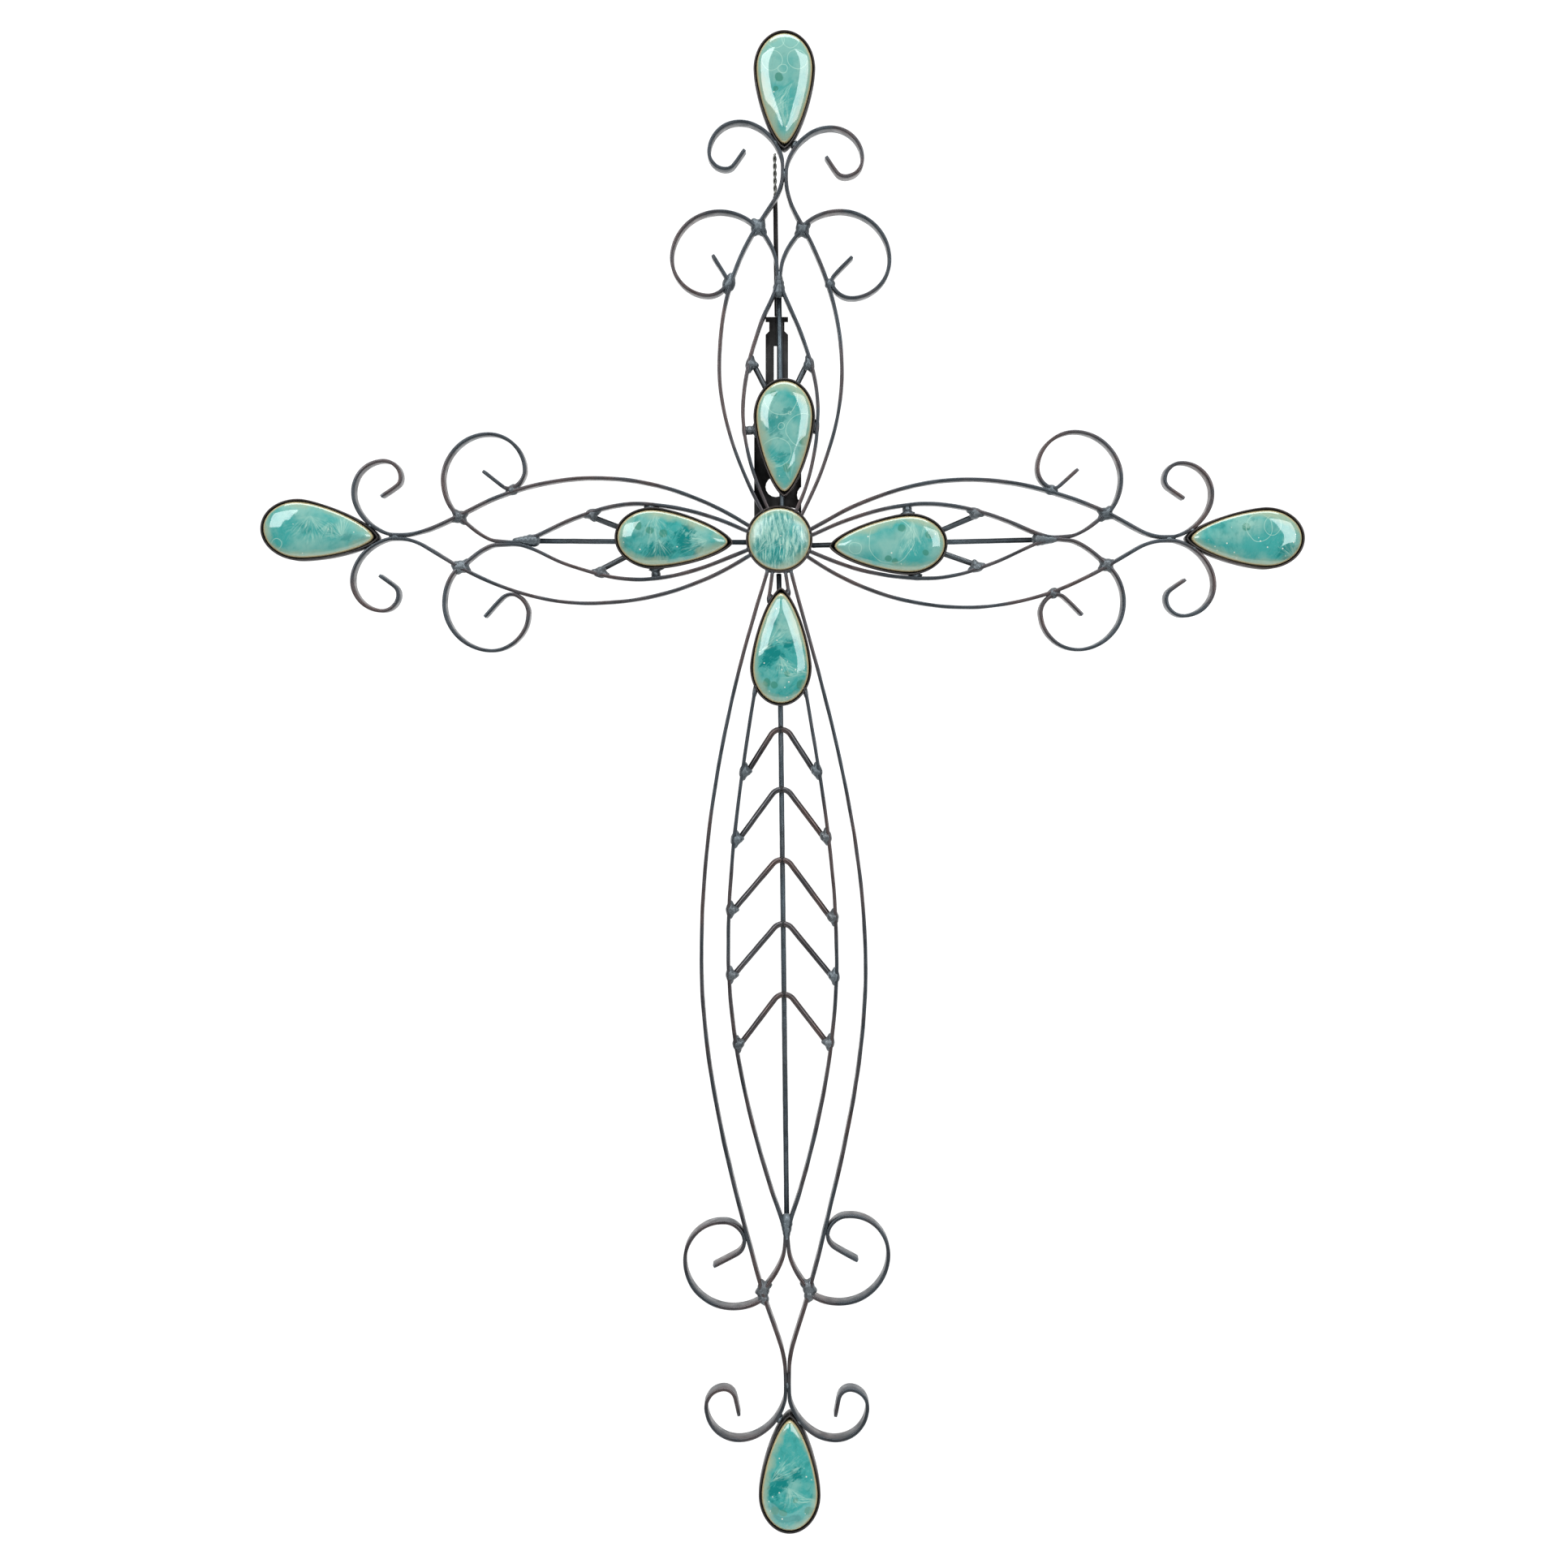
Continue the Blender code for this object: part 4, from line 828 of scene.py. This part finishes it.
def crystalline_glaze(name, seed):
    """Glossy teal glaze: dark pools, feathery crystals, thin pale outlines and a cream edge."""
    s, look = Shader(bpy.data.materials.new(f"glaze_{name}")), GLAZES[name]
    place = s.node("ShaderNodeUVMap", {"uv_map": "place"}).outputs["UV"]
    edge_map = s.node("ShaderNodeUVMap", {"uv_map": "edge"}).outputs["UV"]
    inwards = s.node("ShaderNodeSeparateXYZ", Vector=edge_map).outputs["X"]
    own = s.moved(place, (seed * 13.7, seed * 7.9, seed * 3.3))
    bent = s.shifted(place, own, *BENT)
    torn = s.shifted(bent, own, *TORN)
    gentle = s.shifted(place, own, *GENTLE)

    # broad tones
    cloud = s.noise(own, *CLOUDS)
    turning = PALE_RARE - PALE_MORE * look.pale
    colour = s.mix(s.steps(cloud, turning - PALE_SOFT, turning + PALE_SOFT), GLAZE_BASE, GLAZE_PALE)
    colour = s.mix(s.steps(s.noise(own, *HAZE), 0.48, 0.72, 0.0, 0.25), colour, GLAZE_PALE)
    sweep, _ = needle_noise(s, gentle, *SWEEP_FROM, 0.0, seed + SWEEP_SEED)
    colour = s.mix(s.steps(sweep, 0.34, 0.47, 0.6 * look.deep, 0.0), colour, GLAZE_DEEP)
    colour = s.mix(s.steps(sweep, 0.54, 0.68, 0.0, 0.35), colour, GLAZE_PALE)
    pools = s.noise(s.moved(own, POOLS_SHIFT), *POOLS)
    colour = s.mix(s.steps(pools, 0.60, 0.68, 0.0, look.deep), colour, GLAZE_DEEP)

    # patches, fibres, crystals, outlines and specks
    for k, (x, y, radius) in enumerate(look.patches):
        needles, _ = needle_noise(s, gentle, x - NEEDLES_FROM, y - NEEDLES_FROM, 0.0, seed + k)
        if radius < OLIVE_BELOW:
            around, patch, strength = gentle, OLIVE_PATCH, OLIVE_PATCH.strength
        elif radius < PLAIN_ABOVE:
            around, patch = torn, DEEP_PATCH
            strength = min(1.0, DEEP_PATCH.strength * look.deep)
        else:
            around, patch, strength = bent, PLAIN_PATCH, PLAIN_PATCH.strength
        feathered = patch.feathered * radius
        reach = s.math("ADD", s.distance(around, x, y),
                       s.steps(needles, 0.3, 0.7, -feathered, feathered))
        pool = s.steps(reach, radius * patch.edge, radius * PATCH_OUTER, strength, 0.0)
        colour = s.mix(pool, colour, patch.tone)
    if look.fibres:
        fibre = s.noise(s.moved(gentle, scale=FIBRE_STRETCH), *FIBRES)
        colour = s.mix(s.steps(fibre, 0.42, 0.49, look.fibres, 0.0), colour, GLAZE_DEEP)
        colour = s.mix(s.steps(fibre, 0.53, 0.61, 0.0, look.fibres), colour, GLAZE_CRYSTAL)
    for k, (x, y, radius, start, end) in enumerate(look.fans):
        colour = s.mix(fan_of_crystals(s, gentle, x, y, radius, start, end, seed + k), colour,
                       GLAZE_CRYSTAL)
    for x, y, radius in look.rings:
        away = s.distance(gentle, x, y)
        off_line = s.math("ABSOLUTE", s.math("SUBTRACT", away, radius))
        line = s.steps(off_line, *RING_LINE, 1.0, 0.0)
        colour = s.mix(s.math("MULTIPLY", line, RING_SHARE), colour, GLAZE_CRYSTAL)
    specks = s.node("ShaderNodeTexVoronoi", {"feature": "F1"}, Vector=own, Scale=SPECKS)
    near = s.steps(specks.outputs["Distance"], *SPECK_EDGE, 1.0, 0.0)
    rare, common = (limit - SPECKS_MORE * look.dots for limit in SPECKS_RARE)
    some = s.steps(s.noise(own, *SPECK_CLOUDS), rare, common)
    colour = s.mix(s.math("MULTIPLY", near, some), colour, GLAZE_SPECK)

    # the olive fade and the cream line along the edge
    drift = s.noise(s.moved(own, DRIFT_SHIFT), *DRIFT)
    unsure = s.math("ADD", s.math("ADD", inwards, s.steps(drift, 0.3, 0.7, 0.18, -0.40)),
                    s.steps(s.noise(own, *FADE_EDGE), 0.2, 0.8, -0.16, 0.16))
    colour = s.mix(s.steps(unsure, 0.0, 0.40, 0.85, 0.0), colour, GLAZE_FADE)
    rim = s.math("ADD", inwards, s.steps(s.noise(own, *CREAM_EDGE), 0.0, 1.0, -0.04, 0.04))
    colour = s.mix(s.steps(rim, 0.05, 0.13, 1.0, 0.0), colour, GLAZE_CREAM)
    for socket, value in GLAZE_SURFACE.items():
        s.put(s.surface, socket, value)
    s.put(s.surface, "Base Color", colour)
    uneven = s.bump(s.noise(own, *WAVES), *WAVES_BUMP)
    if look.fibres:
        uneven = s.bump(fibre, *FIBRE_BUMP, uneven)
    s.put(s.surface, "Coat Normal", uneven)
    s.put(s.surface, "Normal", uneven)
    return s.owner


def needle_noise(s, place, x, y, middle, seed):
    """Noise drawn out into needles that point away from (x, y), and the angle from middle."""
    flat = s.moved(place, (-x, -y, 0.0))
    turned = s.node("ShaderNodeVectorRotate", {"rotation_type": "Z_AXIS"}, Vector=flat,
                    Angle=-middle)
    parts = s.node("ShaderNodeSeparateXYZ", Vector=turned.outputs["Vector"])
    angle = s.math("ARCTAN2", parts.outputs["Y"], parts.outputs["X"])
    spread = s.node("ShaderNodeCombineXYZ", X=s.math("MULTIPLY", angle, TURNS),
                    Y=s.math("MULTIPLY", s.distance(place, x, y), NEEDLE_LENGTHS))
    spread.inputs["Z"].default_value = seed * 1.9
    return s.noise(spread.outputs["Vector"], *NEEDLES), angle


def fan_of_crystals(s, place, x, y, radius, start, end, seed):
    """Share of pale crystal in needles that spread from (x, y) between two directions."""
    middle, half = math.radians((start + end) / 2), math.radians((end - start) / 2)
    needles, angle = needle_noise(s, place, x, y, middle, seed)
    away = s.distance(place, x, y)
    uneven = FAN_RAGGED * radius
    ragged = s.math("ADD", away, s.steps(needles, 0.3, 0.7, uneven, -uneven))
    within = s.steps(ragged, FAN_FROM * radius, radius, 1.0, 0.0)
    spread = s.steps(s.math("ABSOLUTE", angle), half * 0.5, half * 1.1, 1.0, 0.0)
    share = s.math("MULTIPLY", s.steps(needles, 0.42, 0.64), within)
    return s.math("MULTIPLY", s.math("MULTIPLY", share, spread), FAN_SHARE)


def pale_floor():
    s = Shader(bpy.data.materials.new("pale_floor"))
    place = s.node("ShaderNodeTexCoord").outputs["Object"]
    grain = s.noise(place, 60.0, 3.0)
    s.put(s.surface, "Base Color", s.mix(grain, (0.80, 0.80, 0.79), (0.84, 0.84, 0.83)))
    s.put(s.surface, "Roughness", 0.7)
    return s.owner


STRIP = forged_steel("strip_forged_steel", (0.054, 0.066, 0.077), (0.026, 0.030, 0.035),
                     (0.104, 0.066, 0.058), 0.75, 0.36, 0.75)
ROD = forged_steel("rod_forged_steel", (0.085, 0.112, 0.132), (0.048, 0.060, 0.070),
                   (0.090, 0.072, 0.064), 0.78, 0.34, 0.3)
BRACE = forged_steel("brace_forged_steel", (0.078, 0.094, 0.106), (0.040, 0.047, 0.053),
                     (0.090, 0.072, 0.064), 0.75, 0.34, 0.3)
CHEVRON = forged_steel("chevron_forged_steel", (0.066, 0.068, 0.074), (0.028, 0.026, 0.028),
                       (0.098, 0.064, 0.056), 0.75, 0.34, 0.8)
CUP = forged_steel("cup_dark_steel", (0.036, 0.034, 0.035), (0.012, 0.010, 0.010),
                   (0.060, 0.042, 0.036), 0.70, 0.38, 0.6)
# weld metal, painted darker as shade behind y = -0.0125
WELD = forged_steel("weld_metal", (0.130, 0.160, 0.180), (0.066, 0.080, 0.090),
                    (0.110, 0.092, 0.084), 0.60, 0.45, 0.25, shaded_below=-0.0125)
HANGER = forged_steel("hanger_dark_steel", (0.0055, 0.0052, 0.0058), (0.0035, 0.0033, 0.0036),
                      (0.012, 0.0085, 0.0078), 0.30, 0.50, 0.5)
WIRE = forged_steel("wire_light_steel", (0.260, 0.270, 0.250), (0.120, 0.120, 0.110),
                    (0.190, 0.175, 0.150), 0.80, 0.35, 0.3)
# Painted shade: near-black for the cups' inner walls and floors, which lie in shadow round the
# stones
CUP_INSIDE_SHADE = forged_steel("cup_inside_painted_shade", (0.006, 0.005, 0.005), (0.003, 0.003, 0.003),
                          (0.010, 0.007, 0.006), 0.10, 0.75, 0.4)

# Bars, rods, cups and stones
paths, outlines = {}, {}
names = sorted(NODES)
for seed, name in enumerate(names):
    if name.startswith(("strip_", "scroll_")):
        paths[name] = bar_piece(name, STRIP, seed)
    elif name.startswith("rod_"):
        straight_rod(name, ROD, seed)
    elif name == "hanger_rod":
        straight_rod(name, HANGER, seed)
    elif name.startswith("cup_"):
        outlines[name] = cup_piece(name, CUP, CUP_INSIDE_SHADE, seed)
    elif name.startswith("stone_"):
        stone_piece(name, crystalline_glaze(name, seed), seed)
    elif name.startswith(("brace_", "chevron_")):
        paths[name] = bent_rod(name, BRACE if name.startswith("brace_") else CHEVRON, seed)
hanger_plate(HANGER)
twisted_wire(WIRE)

# Welds, in mm: a crossing's half width and reach, the other welds' half sizes across and along
# the bars, and the places along an arm where its inner cup is welded
FRONT = min(coords(n)[:, 1].min() for n in names if n.startswith("strip_"))
ARMS = {"top": ((0.0, 1.0), ("left", "right")), "right": ((1.0, 0.0), ("upper", "lower")),
        "lower": ((0.0, -1.0), ("left", "right")), "left": ((-1.0, 0.0), ("lower", "upper"))}
CROSSING = {"top_left": (2.9, 6.6), "top_right": (2.6, 6.2)}
CROSSING_USUAL = (2.4, 6.0)
HOOK = {"top_left": (4.0, 7.0), "top_right": (3.4, 3.6)}
HOOK_USUAL = (3.3, 4.8)
AT_TIP_CUP, AT_INNER_CUP, AT_HUB, OUTERS = (1.7, 3.0), (2.0, 3.0), (1.7, 1.9), (1.6, 4.2)
HUB_DEEP, OUTERS_DEEP, FOOT_DEEP = 6.0, 7.0, 9.0
AT_HUB_WITHIN, AT_HUB_INSET = 2.5 * MM, 0.4 * MM
ROOT_SIZE = 0.6
# the plate of weld where a rod ends: places past that end and half widths there
JUNCTION = ((0.6, 3.9), (3.2, 3.7), (5.8, 3.1), (8.4, 2.5), (10.6, 1.9))
JUNCTION_AT, JUNCTION_DEEP, JUNCTION_LONG, JUNCTION_ROUGH = 4.4, 5.2, 3.6, 0.08
# a V's feet: half sizes, and how far each lies across the gap to the strip. Both legs' welds
# are longest towards one point of the V, LEG_POINT.
FOOT, FOOT_OUT, LEG, LEG_OUT, LEG_POINT = (3.0, 5.8), 0.3, (2.5, 3.8), 0.2, -4
PEAK, PEAK_AT = (2.3, 2.0, 2.3), 7.6
CUP_SIDE_AT = {"top_left": 66.0, "top_right": 68.6, "left_upper": 77.5, "left_lower": 75.0,
               "right_upper": 78.0, "right_lower": 82.4, "lower_left": 84.0, "lower_right": 75.0}
hub = outlines["cup_hub"]

for arm, (axis, sides) in ARMS.items():
    welds = Welds(f"welds_{arm}")
    axis = np.array(axis)
    tip_cup = outlines[f"cup_{arm}_tip"].points(CUP_SIDES)
    inner_cup = outlines[f"cup_{arm}_inner"].points(CUP_SIDES)
    inners = []
    for side in sides:
        key = f"{arm}_{side}"
        outer, inner = paths[f"strip_{key}_outer"], paths[f"strip_{key}_inner"]
        scroll = paths[f"scroll_{key}"]
        inners.append(inner)

        end = ends_towards(inner, outer)[0]
        a, b = closest(end[None], outer)
        lines = (heading(outer, b), heading(inner, a), heading(scroll, b))
        welds.web((a + b) / 2, lines, *CROSSING.get(key, CROSSING_USUAL))
        a, b = closest(scroll[len(scroll) // 2:], outer)
        welds.patch((a + b) / 2, heading(outer, b), *HOOK.get(key, HOOK_USUAL))

        a, b = closest(outer, tip_cup)
        welds.patch((a + b) / 2, heading(outer, a), *AT_TIP_CUP)
        along_arm = (inner - hub.centre) @ axis
        place = inner[int(np.argmin(abs(along_arm - CUP_SIDE_AT[key] * MM)))]
        a, b = closest(place[None], inner_cup)
        welds.column(a, b, heading(inner, a))
        if arm == "lower":
            root = paths[f"strip_{key}_root"]
            a, b = closest(ends_towards(root, inner_cup)[0][None], inner_cup)
            welds.column(a, b, heading(root, a), ROOT_SIZE)
            inner = np.vstack((inner, root))
        for path in (outer, inner):
            start = ends_towards(path, hub.centre[None])[0]
            if np.linalg.norm(start - hub.centre) < hub.radius + AT_HUB_WITHIN:
                toward = hub.centre - start
                welds.patch(start + unit(toward) * AT_HUB_INSET, toward, *AT_HUB, deep=HUB_DEEP)
            else:
                touched = closest(start[None], inner_cup)[1]
                welds.patch(touched, heading(path, start), *AT_INNER_CUP)

    outers = [paths[f"strip_{arm}_{side}_outer"] for side in sides]
    a, b = closest(*outers)
    welds.patch((a + b) / 2, axis, *OUTERS, deep=OUTERS_DEEP)
    rod_end = max((c[0][[0, 2]] for c in caps(f"rod_{arm}")[:2]), key=lambda p: p @ axis)
    for past_end, half_width in JUNCTION:
        x, z = rod_end + axis * past_end * MM
        welds.lump((x, FRONT + JUNCTION_AT * MM, z), (half_width, JUNCTION_DEEP, JUNCTION_LONG),
                   math.atan2(*axis), JUNCTION_ROUGH)
    bent_names = "chevron_" if arm == "lower" else f"brace_{arm}"
    for bent in [path for name, path in paths.items() if name.startswith(bent_names)]:
        for foot in (bent[0], bent[-1]):
            strip = min(inners, key=lambda line: np.linalg.norm(line - foot, axis=1).min())
            a, b = closest(foot[None], strip)
            welds.patch(b + (a - b) * FOOT_OUT, heading(strip, b), *FOOT, deep=FOOT_DEEP)
            welds.patch(a + (b - a) * LEG_OUT, bent[LEG_POINT] - a, *LEG)
        peak = bent[int(np.argmin(bent @ axis))]
        welds.lump((peak[0], FRONT + PEAK_AT * MM, peak[1]), PEAK)
    welds.finish(WELD)

# Floor, light and camera. A lamp has a name, a place, a size and its watts. WORLD is two
# directions, on the camera's side and behind the cross, and the white's strength in them. The
# camera itself sees no less than 1.
FLOOR_RADIUS, FLOOR_SIDES, FLOOR_Z = 1.4, 96, -1.2
MIDDLE = (0.0, 0.0, -0.18)
LAMPS = (("left_softbox", (-2.5, -4.1, 1.50), (2.6, 2.5), 128.0),
         ("right_softbox", (2.6, -4.1, 1.15), (2.6, 3.0), 128.0),
         ("top_softbox", (0.0, -1.1, 3.4), (4.0, 1.8), 150.0))
WORLD = (-0.05, 0.3, 0.16, 1.15)
CAMERA_AT, CAMERA_LENS, CAMERA_SENSOR, CAMERA_SHIFT = (0.0029, -1.616, -0.1251), 60.4, 36.0, -0.0807

floor_mesh = bpy.data.meshes.new("floor")
bm = bmesh.new()
bmesh.ops.create_circle(bm, cap_ends=True, segments=FLOOR_SIDES, radius=FLOOR_RADIUS)
bm.to_mesh(floor_mesh)
bm.free()
floor_mesh.materials.append(pale_floor())
floor = bpy.data.objects.new("floor", floor_mesh)
floor.location = (0.0, 0.0, FLOOR_Z)
bpy.context.collection.objects.link(floor)


def soft_light(name, place, size, power):
    """A rectangular lamp that faces the cross."""
    light = bpy.data.lights.new(name, "AREA")
    light.shape, light.size, light.size_y, light.energy = "RECTANGLE", size[0], size[1], power
    lamp = bpy.data.objects.new(name, light)
    lamp.location = place
    lamp.rotation_euler = (Vector(MIDDLE) - Vector(place)).to_track_quat("-Z", "Y").to_euler()
    bpy.context.collection.objects.link(lamp)


for lamp in LAMPS:
    soft_light(*lamp)

white = Shader(bpy.data.worlds.new("studio_white"), "Background")
generated = white.node("ShaderNodeTexCoord").outputs["Generated"]
backwards = white.node("ShaderNodeSeparateXYZ", Vector=generated).outputs["Y"]
seen = white.node("ShaderNodeLightPath").outputs["Is Camera Ray"]
white.put(white.surface, "Color", (1.0, 1.0, 1.0, 1.0))
white.put(white.surface, "Strength", white.math("MAXIMUM", white.steps(backwards, *WORLD), seen))
bpy.context.scene.world = white.owner
bpy.context.scene.view_settings.view_transform = "Standard"

camera_data = bpy.data.cameras.new("camera")
camera_data.lens = CAMERA_LENS
camera_data.sensor_width = CAMERA_SENSOR
camera_data.shift_y = CAMERA_SHIFT
camera = bpy.data.objects.new("camera", camera_data)
camera.location = CAMERA_AT
camera.rotation_euler = (math.radians(90.0), 0.0, 0.0)
bpy.context.collection.objects.link(camera)
bpy.context.scene.camera = camera
